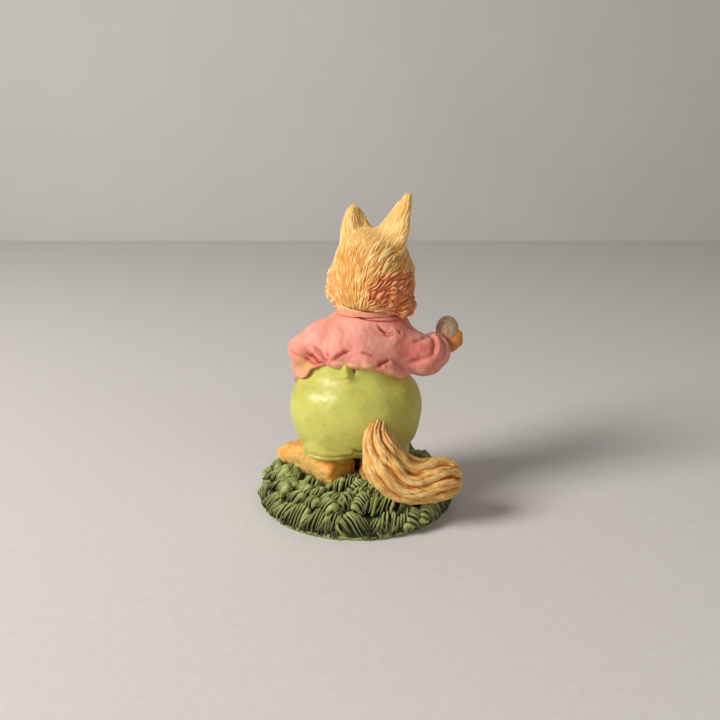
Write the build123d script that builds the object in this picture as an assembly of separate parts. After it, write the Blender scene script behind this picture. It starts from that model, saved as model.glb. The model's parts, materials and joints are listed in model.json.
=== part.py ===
from build123d import *
import math
import os
import random

# A small cast-resin fox in a short jacket and baggy trousers, standing on a round grassy base.
# Millimetres. +Z is up, the fox faces -Y and its left hand is at +X.
# The origin is the centre of the flat underside of the base.

# Grassy base
BASE_DIAMETER = 42.6
BASE_BAND_HEIGHT = 1.3
MOUND_HEIGHT = 5.2
MOUND_SHARES = ((0.0, 1.0), (0.45, 0.985), (0.80, 0.945), (0.95, 0.86), (1.0, 0.72))
GRASS_HEIGHT = 3.4
GRASS_TUFT_WIDTH = 4.4
GRASS_TUFT_THICKNESS = 1.9
GRASS_ARCH_SHARES = (
    (-1.0, -0.20),
    (-0.97, 0.38),
    (-0.62, 0.80),
    (-0.02, 1.0),
    (0.55, 0.90),
    (0.93, 0.56),
    (1.0, 0.18),
    (0.72, -0.20),
)
GRASS_STEP_SHARES = ((1.0, 0.42), (0.72, 0.72), (0.44, 1.0))
GRASS_RING_SPACING = 3.9
GRASS_LEAN = -16.0
GRASS_LEAN_CHANGE = 8.0
GRASS_TURN_CHANGE = 24.0
GRASS_CLEARANCE = 0.3
GRASS_SEED = 11
RIM_GRASS_HEIGHT = 4.1
RIM_GRASS_WIDTH = 5.0
RIM_GRASS_FOOT = 1.6
RIM_GRASS_INSET = 0.9

# Boots
BOOT_LENGTH = 21.5
BOOT_WIDTH = 8.8
BOOT_TOE_HEIGHT = 7.6
BOOT_CORNER_SHARE = 0.42
BOOT_SECTION_SHARES = (
    (0.0, 0.80, 0.92),
    (0.05, 0.95, 0.96),
    (0.24, 1.0, 0.97),
    (0.48, 0.94, 0.90),
    (0.72, 1.06, 0.84),
    (0.90, 0.94, 0.70),
    (0.98, 0.62, 0.48),
    (1.0, 0.40, 0.32),
)
BOOT_SHAFT_WIDTH = 8.2
STANCE = 11.0
FEET_BACK = 3.6
LEFT_BOOT_TURN = 40.0
RIGHT_BOOT_TURN = -4.0

# Trousers
HEM_HEIGHT = 7.6
WAIST_SHARE = 0.80
TROUSERS_WIDTH = 29.6
TROUSERS_DEPTH = 24.4
TROUSERS_HEIGHT = 22.4
TROUSERS_SECTION_SHARES = (
    (0.01, 0.66, 0.64, 0.0, 0.02),
    (0.05, 0.80, 0.78, 0.0, 0.01),
    (0.125, 0.895, 0.88, 0.0, 0.005),
    (0.257, 0.965, 0.965, 0.0, 0.0),
    (0.416, 1.0, 1.0, 0.0, 0.0),
    (0.566, 0.97, 0.96, 0.0, -0.01),
    (0.688, 0.875, 0.87, 0.0, -0.02),
    (0.782, 0.755, 0.765, 0.0, -0.027),
    (0.871, 0.69, 0.70, 0.0, -0.01),
    (0.955, 0.64, 0.63, 0.0, 0.0),
    (1.0, 0.50, 0.50, 0.0, 0.0),
)
LEG_WIDTH = 12.2
LEG_RISE = 7.0
HEM_ROLL = 0.4
HEM_ROLL_HEIGHT = 1.0

# Jacket
JACKET_EASE_SIDES = 0.76
JACKET_EASE_BACK = 0.24
JACKET_WIDTH = WAIST_SHARE * TROUSERS_WIDTH + 2 * JACKET_EASE_SIDES
JACKET_DEPTH = WAIST_SHARE * TROUSERS_DEPTH + 2 * JACKET_EASE_BACK
JACKET_HEIGHT = 13.6
JACKET_OVERLAP = 5.6
JACKET_SECTION_SHARES = (
    (-0.16, 1.0, 1.02, 0.022, -0.02),
    (0.0, 0.985, 1.0, 0.02, -0.02),
    (0.22, 0.93, 0.94, 0.005, -0.03),
    (0.45, 0.93, 0.86, -0.015, -0.05),
    (0.65, 0.92, 0.79, -0.035, -0.065),
    (0.80, 0.84, 0.72, -0.06, -0.08),
    (0.91, 0.72, 0.66, -0.09, -0.09),
    (1.0, 0.59, 0.58, -0.115, -0.095),
)
FRONT_HEM_SHARE = -0.07
BACK_HEM_SHARES = (
    (-1.0, -0.07),
    (-0.80, 0.0),
    (-0.60, 0.10),
    (-0.36, 0.25),
    (-0.16, 0.31),
    (0.32, 0.32),
    (0.56, 0.34),
    (0.68, 0.27),
    (0.84, 0.05),
    (1.0, -0.07),
)
BUTTON_DIAMETER = 1.8
BUTTON_THICKNESS = 1.4
BUTTON_PROUD = 0.5
BUTTON_RISE_SHARES = (0.16, 0.36)
NOTCH_WIDTH = 8.4
NOTCH_DEPTH = 8.0
SHIRT_SET_BACK = 0.6

# Sleeves: each way runs to the fox's own side, forwards and upwards
SHOULDER_RISE_SHARE = 0.54
LEFT_SHOULDER_SET_IN = 5.9
RIGHT_SHOULDER_SET_IN = 4.6
SHOULDER_WIDTH = 10.0
LEFT_ELBOW_WIDTH = 7.8
LEFT_CUFF_WIDTH = 5.8
RIGHT_ELBOW_WIDTH = 9.0
RIGHT_CUFF_WIDTH = 7.8
JOINT_FULLNESS = 0.4
LEFT_UPPER_ARM = 4.6
LEFT_FOREARM = 7.4
LEFT_UPPER_ARM_WAY = (0.86, 0.02, -0.36)
LEFT_FOREARM_WAY = (0.08, 0.56, -0.78)
RIGHT_UPPER_ARM = 7.6
RIGHT_FOREARM = 5.0
RIGHT_UPPER_ARM_WAY = (0.90, -0.02, -0.38)
RIGHT_FOREARM_WAY = (0.76, 0.56, 0.25)

# Paws and egg
PAW_WIDTH = 4.8
PAW_LENGTH = 5.4
PAW_WRIST_SHARE = 0.8
PAW_ROOT = 2.0
EGG_DIAMETER = 5.2
EGG_HEIGHT = 6.4
EGG_SEAT = 2.8

# Neck
NECK_WIDTH = 14.2
NECK_DEPTH = 11.4
NECK_HEIGHT = 3.2
NECK_ROOT = 2.2

# Head, in its own frame facing -Y
HEAD_WIDTH = 18.8
HEAD_DEPTH = 16.6
HEAD_HEIGHT = 17.4
HEAD_TURN = -34.0
HEAD_NOD = 3.0
HEAD_SIDE_SHIFT = 0.4
HEAD_FORWARD_SHIFT = 0.6
HEAD_RISE = 0.9
HEAD_SECTION_SHARES = (
    (0.0, 0.70, 0.68, 0.0, 0.0),
    (0.05, 0.86, 0.84, 0.0, 0.0),
    (0.16, 0.96, 0.95, 0.0, 0.0),
    (0.34, 1.0, 1.0, 0.0, 0.0),
    (0.54, 0.95, 0.98, 0.0, 0.0),
    (0.72, 0.85, 0.89, 0.0, 0.0),
    (0.86, 0.68, 0.72, 0.0, 0.0),
    (0.95, 0.44, 0.48, 0.0, 0.0),
    (1.0, 0.18, 0.20, 0.0, 0.0),
)
MUZZLE_LENGTH = 8.6
MUZZLE_WIDTH = 9.4
MUZZLE_HEIGHT = 7.6
MUZZLE_RISE_SHARE = 0.34
MUZZLE_DROP = 1.6
MUZZLE_SECTION_SHARES = ((-0.55, 1.0), (0.0, 0.96), (0.45, 0.72), (0.82, 0.54), (0.96, 0.42), (1.0, 0.30))
NOSE_DIAMETER = 2.6
NOSE_PROUD = 1.5
EYE_DIAMETER = 2.6
EYE_PROUD = 0.6
EYE_SPREAD_SHARE = 0.46
EYE_RISE_SHARE = 0.56
RUFF_LENGTH = 11.2
RUFF_WIDTH = 10.2
RUFF_THICKNESS = 6.4
RUFF_RISE_SHARE = 0.25
RUFF_SPREAD_SHARE = 0.87
EAR_WIDTH = 7.6
EAR_THICKNESS = 3.8
EAR_ROOT = 3.2
EAR_SPREAD = 4.7
EAR_RISE_SHARE = 0.90
LEFT_EAR_SECTION_SHARES = (
    (0.0, 0.84, 1.0, 0.0, 0.0),
    (0.25, 1.0, 0.95, 0.0, 0.0),
    (0.45, 0.98, 0.82, 0.0, 0.0),
    (0.65, 0.84, 0.66, 0.0, 0.0),
    (0.86, 0.52, 0.46, 0.0, 0.0),
    (0.97, 0.24, 0.26, 0.0, 0.0),
    (1.0, 0.12, 0.14, 0.0, 0.0),
)
RIGHT_EAR_SECTION_SHARES = (
    (0.0, 0.84, 1.0, 0.0, 0.0),
    (0.25, 0.98, 0.95, 0.0, 0.0),
    (0.45, 0.86, 0.80, 0.0, 0.0),
    (0.65, 0.62, 0.60, 0.0, 0.0),
    (0.86, 0.32, 0.36, 0.0, 0.0),
    (0.97, 0.14, 0.18, 0.0, 0.0),
    (1.0, 0.07, 0.10, 0.0, 0.0),
)
EAR_HOLLOW_SHARE = 0.56
LEFT_EAR_HEIGHT = 6.8
LEFT_EAR_LEAN = 9.0
RIGHT_EAR_HEIGHT = 10.4
RIGHT_EAR_LEAN = 20.0
EAR_TIP_FORWARD = 4.0

# Tail: each row gives how far along it lies to the side, to the back and up, and how thick it is
TAIL_REACH = 17.0
TAIL_RUN = 2.4
TAIL_THICKNESS = 8.8
TAIL_ROOT = 3.4
TAIL_ROOT_RISE_SHARE = 0.36
TAIL_ROOT_SIDE = 4.6
TAIL_LIFT = 0.9
TAIL_FLUTES = 9
TAIL_FLUTE_SHARE = 0.13
TAIL_TWIST = 50.0
TAIL_SWAY = 11.0
TAIL_SWAY_SPACING = 3.2
TAIL_PATH_SHARES = (
    (0.00, -0.50, 1.02, 0.42),
    (0.00, 0.20, 0.92, 0.56),
    (0.03, 0.72, 0.68, 0.80),
    (0.11, 1.00, 0.36, 1.02),
    (0.27, 1.06, 0.10, 1.04),
    (0.50, 0.98, 0.00, 1.00),
    (0.76, 0.62, 0.00, 0.98),
    (0.92, 0.22, 0.00, 0.80),
    (1.00, 0.02, 0.00, 0.44),
)

OVERRUN = 1.0

GROUND = MOUND_HEIGHT
HEM_LEVEL = GROUND + HEM_HEIGHT
TROUSERS_TOP = HEM_LEVEL + TROUSERS_HEIGHT
JACKET_BOTTOM = TROUSERS_TOP - JACKET_OVERLAP
JACKET_TOP = JACKET_BOTTOM + JACKET_HEIGHT


def ellipse_stack(foot, width, depth, height, section_shares):
    """A body of level ellipses; each row is height, width, depth, sideways shift and shift along Y."""
    faces = []
    for up_share, width_share, depth_share, side_share, back_share in section_shares:
        centre = foot + Vector(side_share * width, back_share * depth, up_share * height)
        faces.append(Pos(centre) * Ellipse(width_share * width / 2, depth_share * depth / 2))
    return loft(faces)


def ellipsoid(width, depth, height):
    """A whole egg-round body centred on the origin."""
    return scale(Sphere(1), by=(width / 2, depth / 2, height / 2))


def tapered(start, end, start_width, end_width):
    """A round bar between two points that narrows from one to the other."""
    line = end - start
    middle = Plane((start + end) / 2, z_dir=line)
    return middle * Cone(start_width / 2, end_width / 2, line.length)


def mound():
    """The solid ground of the base, with a plain band round its foot."""
    radius = BASE_DIAMETER / 2
    points = [(0, 0), (radius, 0)]
    for up_share, radius_share in MOUND_SHARES:
        level = BASE_BAND_HEIGHT + up_share * (MOUND_HEIGHT - BASE_BAND_HEIGHT)
        points.append((radius_share * radius, level))
    points.append((0, MOUND_HEIGHT))
    return revolve(Plane.XZ * make_face(Polyline(*points, close=True)), Axis.Z)


def ground_height(reach):
    """Height of the mound at a distance from the middle of the base."""
    rows = []
    for up_share, radius_share in MOUND_SHARES:
        level = BASE_BAND_HEIGHT + up_share * (MOUND_HEIGHT - BASE_BAND_HEIGHT)
        rows.append((radius_share * BASE_DIAMETER / 2, level))
    for (outer, low), (inner, high) in zip(rows, rows[1:]):
        if inner <= reach <= outer:
            return low + (high - low) * (outer - reach) / (outer - inner)
    return MOUND_HEIGHT


def grass_tuft(width, height):
    """A shell of grass that stands on XY, in steps that arch over to one side, with its root below."""
    tuft = []
    for size_share, out_share in GRASS_STEP_SHARES:
        outline = [
            (across * size_share * width / 2 + (1 - size_share) * width / 6, max(up * size_share, -0.2) * height)
            for across, up in GRASS_ARCH_SHARES
        ]
        layer = Plane.XZ * make_face(Polyline(*outline, close=True))
        tuft.append(extrude(layer, out_share * GRASS_TUFT_THICKNESS))
    return tuft[0].fuse(*tuft[1:])


def clear_of(places, footprints):
    """Whether a tuft over these places keeps clear of everything that stands on the grass."""
    margin = GRASS_TUFT_THICKNESS / 2 + GRASS_CLEARANCE
    for start, end, width in footprints:
        line = end - start
        for place in places:
            part = max(0, min(1, (place - start).dot(line) / line.dot(line)))
            if (place - start - line * part).length < width / 2 + margin:
                return False
    return True


def grass_rings():
    """Distance from the middle, foot level, tuft width and tuft height of each ring of grass."""
    rings = [(BASE_DIAMETER / 2 - RIM_GRASS_INSET, RIM_GRASS_FOOT, RIM_GRASS_WIDTH, RIM_GRASS_HEIGHT)]
    reach = BASE_DIAMETER / 2 - GRASS_RING_SPACING
    while reach > GRASS_RING_SPACING:
        rings.append((reach, ground_height(reach), GRASS_TUFT_WIDTH, GRASS_HEIGHT))
        reach -= GRASS_RING_SPACING
    return rings


def grassy_base(boots, tail_places):
    """The mound with rings of grass tufts that face outwards, left out where something stands on it."""
    chance = random.Random(GRASS_SEED)
    tail_underside = GROUND + TAIL_LIFT - TAIL_FLUTE_SHARE * TAIL_THICKNESS / 4
    tufts = []
    for ring, (reach, level, width, height) in enumerate(grass_rings()):
        tuft = grass_tuft(width, height)
        footprints = boots if level + height < tail_underside else boots + tail_places
        count = int(2 * math.pi * reach / width)
        for index in range(count):
            turn = 360 * (index + ring / 2) / count
            lean = GRASS_LEAN + GRASS_LEAN_CHANGE * chance.uniform(-1, 1)
            aside = GRASS_TURN_CHANGE * chance.uniform(-1, 1) * min(ring, 1)
            corners = [
                Vector(across, -reach - out, 0).rotate(Axis.Z, turn)
                for across in (-width / 2, 0, width / 2)
                for out in (-height / 4, GRASS_TUFT_THICKNESS)
            ]
            if clear_of(corners, footprints):
                stand = Pos(0, -reach, level) * Rot(0, 0, aside) * Rot(lean, 0, 0)
                tufts.append(Rot(0, 0, turn) * stand * tuft)
    return mound().fuse(*tufts)


def boot(side, turn):
    """A broad round-toed boot whose shaft stands up inside the trouser leg."""
    faces = []
    for along_share, width_share, height_share in BOOT_SECTION_SHARES:
        width = width_share * BOOT_WIDTH
        full = HEM_HEIGHT + (BOOT_TOE_HEIGHT - HEM_HEIGHT) * along_share
        height = height_share * full
        corner = BOOT_CORNER_SHARE * min(width, height)
        section = Plane.XZ * Pos(0, height / 2) * RectangleRounded(width, height, corner)
        faces.append(Pos(0, -along_share * BOOT_LENGTH, 0) * section)
    shaft = Pos(0, -BOOT_SHAFT_WIDTH / 2, HEM_HEIGHT / 2) * Cylinder(BOOT_SHAFT_WIDTH / 2, HEM_HEIGHT)
    whole = Pos(0, BOOT_SHAFT_WIDTH / 2, 0) * (loft(faces) + shaft)
    return Pos(side * STANCE / 2, FEET_BACK, GROUND) * Rot(0, 0, turn) * whole


def boot_footprint(side, turn):
    """The line under a boot from its heel to its toe, and the boot's width."""
    heel = Vector(0, BOOT_SHAFT_WIDTH / 2, 0).rotate(Axis.Z, turn)
    toe = Vector(0, BOOT_SHAFT_WIDTH / 2 - BOOT_LENGTH, 0).rotate(Axis.Z, turn)
    middle = Vector(side * STANCE / 2, FEET_BACK, 0)
    return middle + heel, middle + toe, BOOT_WIDTH


def trousers():
    """The full round seat with two short wide legs and a rolled hem."""
    foot = Vector(0, 0, HEM_LEVEL)
    whole = ellipse_stack(
        foot, TROUSERS_WIDTH, TROUSERS_DEPTH, TROUSERS_HEIGHT, TROUSERS_SECTION_SHARES
    )
    for side in (1, -1):
        leg = Pos(side * STANCE / 2, FEET_BACK, HEM_LEVEL + LEG_RISE / 2)
        whole += leg * Cylinder(LEG_WIDTH / 2, LEG_RISE)
        roll = Pos(side * STANCE / 2, FEET_BACK, HEM_LEVEL + HEM_ROLL_HEIGHT / 2)
        whole += roll * Cylinder(LEG_WIDTH / 2 + HEM_ROLL, HEM_ROLL_HEIGHT)
    return whole


def jacket_level(up_share):
    """Centre and radii of the jacket's section at a share of its height."""
    rows = JACKET_SECTION_SHARES
    for low, high in zip(rows, rows[1:]):
        if low[0] <= up_share <= high[0]:
            part = (up_share - low[0]) / (high[0] - low[0])
            mixed = [a + (b - a) * part for a, b in zip(low, high)]
            level = JACKET_BOTTOM + up_share * JACKET_HEIGHT
            centre = Vector(mixed[3] * JACKET_WIDTH, mixed[4] * JACKET_DEPTH, level)
            return centre, mixed[1] * JACKET_WIDTH / 2, mixed[2] * JACKET_DEPTH / 2
    raise ValueError("the share lies outside the jacket")


def below_hem():
    """All that lies below the hem: level in front, and behind in a line that rises over the seat."""
    half = JACKET_WIDTH / 2
    front = Pos(0, -JACKET_DEPTH, (FRONT_HEM_SHARE - 1) * JACKET_HEIGHT) * Box(
        4 * half, 2 * JACKET_DEPTH, 2 * JACKET_HEIGHT
    )
    line = [(across_share * half, up_share * JACKET_HEIGHT) for across_share, up_share in BACK_HEM_SHARES]
    ends = [(2 * half, line[-1][1]), (2 * half, -JACKET_HEIGHT), (-2 * half, -JACKET_HEIGHT), (-2 * half, line[0][1])]
    behind = extrude(Plane.XZ * make_face(Polyline(*line, *ends, close=True)), -2 * JACKET_DEPTH)
    return Pos(0, 0, JACKET_BOTTOM) * (front + behind)


def jacket():
    """The short jacket body, cut along its hem."""
    foot = Vector(0, 0, JACKET_BOTTOM)
    body = ellipse_stack(foot, JACKET_WIDTH, JACKET_DEPTH, JACKET_HEIGHT, JACKET_SECTION_SHARES)
    return body - below_hem() - jacket_notch()


def arm(side, set_in, upper, upper_way, fore, fore_way):
    """Shoulder, elbow and wrist of one arm, and the way its forearm runs."""
    level = JACKET_BOTTOM + SHOULDER_RISE_SHARE * JACKET_HEIGHT
    start = Vector(side * (JACKET_WIDTH / 2 - set_in), 0, level)
    upper_step = Vector(side * upper_way[0], -upper_way[1], upper_way[2]).normalized()
    fore_step = Vector(side * fore_way[0], -fore_way[1], fore_way[2]).normalized()
    elbow = start + upper_step * upper
    return start, elbow, elbow + fore_step * fore, fore_step


def sleeve(joints, elbow_width, cuff_width):
    """A full sleeve, widest at the shoulder, rounded at the elbow and ending in its cuff."""
    start, elbow, wrist, fore_step = joints
    shoulder_ball = Plane(start, z_dir=elbow - start) * Sphere((SHOULDER_WIDTH + JOINT_FULLNESS) / 2)
    upper = tapered(start, elbow, SHOULDER_WIDTH, elbow_width) + shoulder_ball
    elbow_ball = Plane(elbow, z_dir=fore_step) * Sphere((elbow_width + JOINT_FULLNESS) / 2)
    return upper + (elbow_ball + tapered(elbow, wrist, elbow_width, cuff_width))


def palm(joints):
    """Centre of the paw beyond the cuff."""
    start, elbow, wrist, fore_step = joints
    return wrist + fore_step * (PAW_LENGTH / 2)


def paw(joints):
    """A round paw whose wrist runs back inside the cuff."""
    start, elbow, wrist, fore_step = joints
    wrist_width = PAW_WRIST_SHARE * PAW_WIDTH
    stem = wrist - fore_step * PAW_ROOT
    middle = Plane((stem + palm(joints)) / 2, z_dir=fore_step)
    pin = middle * Cylinder(wrist_width / 2, PAW_ROOT + PAW_LENGTH / 2)
    hand = Plane(palm(joints), z_dir=fore_step) * ellipsoid(PAW_WIDTH, PAW_WIDTH, PAW_LENGTH)
    return pin + hand


def egg(joints):
    """An egg held upright on the palm."""
    return Pos(palm(joints) + Vector(0, 0, EGG_SEAT)) * ellipsoid(EGG_DIAMETER, EGG_DIAMETER, EGG_HEIGHT)


def neck():
    """A smooth neck that stands in the jacket and the head."""
    centre, half_width, half_depth = jacket_level(1.0)
    height = NECK_ROOT + NECK_HEIGHT
    column = extrude(Ellipse(NECK_WIDTH / 2, NECK_DEPTH / 2), height)
    return Pos(centre - Vector(0, 0, NECK_ROOT)) * column


def head_place():
    """Where the head's own frame stands: its origin is the middle of the chin line."""
    centre, half_width, half_depth = jacket_level(1.0)
    foot = centre + Vector(-HEAD_SIDE_SHIFT, -HEAD_FORWARD_SHIFT, HEAD_RISE)
    return Pos(foot) * Rot(0, 0, HEAD_TURN) * Rot(HEAD_NOD, 0, 0)


def skull():
    """The full-cheeked head without its muzzle, ruffs or ears."""
    return ellipse_stack(Vector(0, 0, 0), HEAD_WIDTH, HEAD_DEPTH, HEAD_HEIGHT, HEAD_SECTION_SHARES)


def muzzle_line(along_share):
    """A place along the middle of the muzzle."""
    back = -HEAD_DEPTH / 2 - along_share * MUZZLE_LENGTH * 0.75
    return Vector(0, back, MUZZLE_RISE_SHARE * HEAD_HEIGHT - MUZZLE_DROP * along_share)


def muzzle():
    """A short tapering snout that drops towards the nose."""
    faces = []
    for along_share, size_share in MUZZLE_SECTION_SHARES:
        section = Plane.XZ * Ellipse(size_share * MUZZLE_WIDTH / 2, size_share * MUZZLE_HEIGHT / 2)
        faces.append(Pos(muzzle_line(along_share)) * section)
    return loft(faces)


def nose():
    """The painted button of the nose, set into the end of the muzzle."""
    return Pos(muzzle_line(1) + Vector(0, NOSE_DIAMETER / 2 - NOSE_PROUD, 0)) * Sphere(NOSE_DIAMETER / 2)


def surface_point(body, across, level):
    """The place on the front of a body, facing -Y, at a distance across and a height."""
    found = body.find_intersection_points(Axis((across, 0, level), (0, -1, 0)))
    return min((point for point, normal in found), key=lambda point: point.Y)


def eye(side):
    """A domed eye set into the front of the head."""
    across = side * EYE_SPREAD_SHARE * HEAD_WIDTH / 2
    face = surface_point(skull(), across, EYE_RISE_SHARE * HEAD_HEIGHT)
    return Pos(face + Vector(0, EYE_DIAMETER / 2 - EYE_PROUD, 0)) * Sphere(EYE_DIAMETER / 2)


def ruff(side):
    """The tuft of cheek fur that sweeps out and back from the jaw."""
    centre = Pos(side * RUFF_SPREAD_SHARE * HEAD_WIDTH / 2, 0, RUFF_RISE_SHARE * HEAD_HEIGHT)
    return centre * ellipsoid(RUFF_THICKNESS, RUFF_LENGTH, RUFF_WIDTH)


def ear(side, height, lean, section_shares):
    """A pointed ear, hollow in front, with its root in the head."""
    blade = ellipse_stack(Vector(0, 0, 0), EAR_WIDTH, EAR_THICKNESS, EAR_ROOT + height, section_shares)
    hollow = Pos(0, -EAR_THICKNESS / 2, EAR_ROOT + height / 2) * ellipsoid(
        EAR_WIDTH * EAR_HOLLOW_SHARE, EAR_THICKNESS * EAR_HOLLOW_SHARE, height * EAR_HOLLOW_SHARE
    )
    stand = Pos(side * EAR_SPREAD, 0, EAR_RISE_SHARE * HEAD_HEIGHT) * Rot(EAR_TIP_FORWARD, side * lean, 0)
    return stand * Pos(0, 0, -EAR_ROOT) * (blade - hollow)


def tail_route():
    """Places and thicknesses along the middle of the tail, from its root to its tip."""
    start = Vector(-TAIL_ROOT_SIDE, TROUSERS_DEPTH / 2, HEM_LEVEL + TAIL_ROOT_RISE_SHARE * TROUSERS_HEIGHT)
    lying = GROUND + TAIL_THICKNESS / 2 + TAIL_LIFT
    points = []
    widths = []
    for side_share, back_share, up_share, width_share in TAIL_PATH_SHARES:
        level = lying + up_share * (start.Z - lying)
        points.append(Vector(start.X - side_share * TAIL_REACH, start.Y + back_share * TAIL_RUN, level))
        widths.append(width_share * TAIL_THICKNESS)
    points.insert(0, points[0] - Vector(0, TAIL_ROOT, 0))
    widths.insert(0, widths[0])
    return points, widths


def tail():
    """A thick fluted brush that drops from the seat and lies out to the fox's right."""
    points, widths = tail_route()
    faces = []
    side = Axis.X.direction
    last = len(points) - 1
    steps = 4 * TAIL_FLUTES
    for index, (point, width) in enumerate(zip(points, widths)):
        tangent = (points[min(index + 1, last)] - points[max(index - 1, 0)]).normalized()
        side = (side - tangent * side.dot(tangent)).normalized()
        sway = TAIL_SWAY * math.sin(2 * math.pi * index / TAIL_SWAY_SPACING)
        twist = math.radians(TAIL_TWIST * index / last + sway)
        ring = []
        for step in range(steps):
            angle = 2 * math.pi * step / steps
            strand = abs(math.cos(TAIL_FLUTES * (angle + twist) / 2))
            radius = width / 2 * (1 + TAIL_FLUTE_SHARE * (strand - 0.5))
            ring.append((radius * math.cos(angle), radius * math.sin(angle)))
        faces.append(Plane(point, x_dir=side, z_dir=tangent) * make_face(Spline(*ring, periodic=True)))
    return loft(faces)


def tail_footprints():
    """The stretches under the tail, with its thickness at each."""
    points, widths = tail_route()
    stretches = []
    for start, end, first, second in zip(points, points[1:], widths, widths[1:]):
        width = max(first, second)
        if min(start.Z, end.Z) - width / 2 < GROUND + GRASS_HEIGHT:
            stretches.append((Vector(start.X, start.Y, 0), Vector(end.X, end.Y, 0), width))
    return stretches


def jacket_notch():
    """The V-shaped opening down the front of the jacket, from the neck."""
    centre, half_width, half_depth = jacket_level(1.0)
    low = Vector(centre.X, 0, centre.Z - NOTCH_DEPTH)
    left = low + Vector(NOTCH_WIDTH / 2 * (1 + OVERRUN / NOTCH_DEPTH), 0, NOTCH_DEPTH + OVERRUN)
    right = low + Vector(-NOTCH_WIDTH / 2 * (1 + OVERRUN / NOTCH_DEPTH), 0, NOTCH_DEPTH + OVERRUN)
    return extrude(make_face(Polyline(low, left, right, close=True)), dir=(0, -1, 0), amount=JACKET_DEPTH)


def shirt_front():
    """The cream shirt that shows in the notch, a little behind the jacket's face."""
    foot = Vector(0, 0, JACKET_BOTTOM)
    width = JACKET_WIDTH - 2 * SHIRT_SET_BACK
    depth = JACKET_DEPTH - 2 * SHIRT_SET_BACK
    body = ellipse_stack(foot, width, depth, JACKET_HEIGHT, JACKET_SECTION_SHARES)
    return body & jacket_notch()


def button(rise_share, garment):
    """One flat button set into the front of the jacket."""
    centre, half_width, half_depth = jacket_level(rise_share)
    face = surface_point(garment, centre.X, centre.Z)
    front = Pos(face + Vector(0, BUTTON_THICKNESS / 2 - BUTTON_PROUD, 0))
    return front * Rot(90, 0, 0) * Cylinder(BUTTON_DIAMETER / 2, BUTTON_THICKNESS)


def main():
    left_arm = arm(
        1, LEFT_SHOULDER_SET_IN, LEFT_UPPER_ARM, LEFT_UPPER_ARM_WAY, LEFT_FOREARM, LEFT_FOREARM_WAY
    )
    right_arm = arm(
        -1, RIGHT_SHOULDER_SET_IN, RIGHT_UPPER_ARM, RIGHT_UPPER_ARM_WAY, RIGHT_FOREARM, RIGHT_FOREARM_WAY
    )
    place = head_place()
    # Each piece is cut to sit round or on the pieces named before it.
    pieces = {
        "trousers": trousers(),
        "left_boot": boot(1, LEFT_BOOT_TURN),
        "right_boot": boot(-1, RIGHT_BOOT_TURN),
        "jacket": jacket(),
        "shirt_front": shirt_front(),
        "head": place * skull(),
        "neck": neck(),
        "left_sleeve": sleeve(left_arm, LEFT_ELBOW_WIDTH, LEFT_CUFF_WIDTH),
        "right_sleeve": sleeve(right_arm, RIGHT_ELBOW_WIDTH, RIGHT_CUFF_WIDTH),
        "left_paw": paw(left_arm),
        "right_paw": paw(right_arm),
        "egg": egg(right_arm),
        "left_ear": place * ear(1, LEFT_EAR_HEIGHT, LEFT_EAR_LEAN, LEFT_EAR_SECTION_SHARES),
        "right_ear": place * ear(-1, RIGHT_EAR_HEIGHT, RIGHT_EAR_LEAN, RIGHT_EAR_SECTION_SHARES),
        "muzzle": place * muzzle(),
        "nose": place * nose(),
        "left_eye": place * eye(1),
        "right_eye": place * eye(-1),
        "left_cheek_ruff": place * ruff(1),
        "right_cheek_ruff": place * ruff(-1),
        "tail": tail() - mound(),
    }
    for number, rise_share in enumerate(BUTTON_RISE_SHARES, start=1):
        pieces[f"button_{number}"] = button(rise_share, pieces["jacket"])
    fitted = {}
    boxes = {}
    for name, piece in pieces.items():
        boxes[name] = piece.bounding_box()
        for other_name, other in fitted.items():
            if boxes[name].overlaps(boxes[other_name]):
                piece = piece - other
        fitted[name] = piece
        print(name, len(piece.solids()), round(piece.volume, 1))
    boots = [boot_footprint(1, LEFT_BOOT_TURN), boot_footprint(-1, RIGHT_BOOT_TURN)]
    fitted["grassy_base"] = grassy_base(boots, tail_footprints())
    os.makedirs("parts", exist_ok=True)
    for name, piece in fitted.items():
        export_step(piece, f"parts/{name}.step")


if __name__ == "__main__":
    main()
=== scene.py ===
"""A small painted resin figurine of a dressed fox, seen from behind, on a round base of carved grass.

Lengths are millimetres unless a name says otherwise; the Blender scene is in metres. Each piece is
modelled as clay on a grid of distances, skinned with quads, and carved along its surface. What the
carving knows of a point, such as how deep it lies in a groove, goes to the paint as a mark.
"""

import copy
import functools
import json
import math
import random

import bpy
import numpy as np
import openvdb
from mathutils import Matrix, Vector
from mathutils.bvhtree import BVHTree

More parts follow.
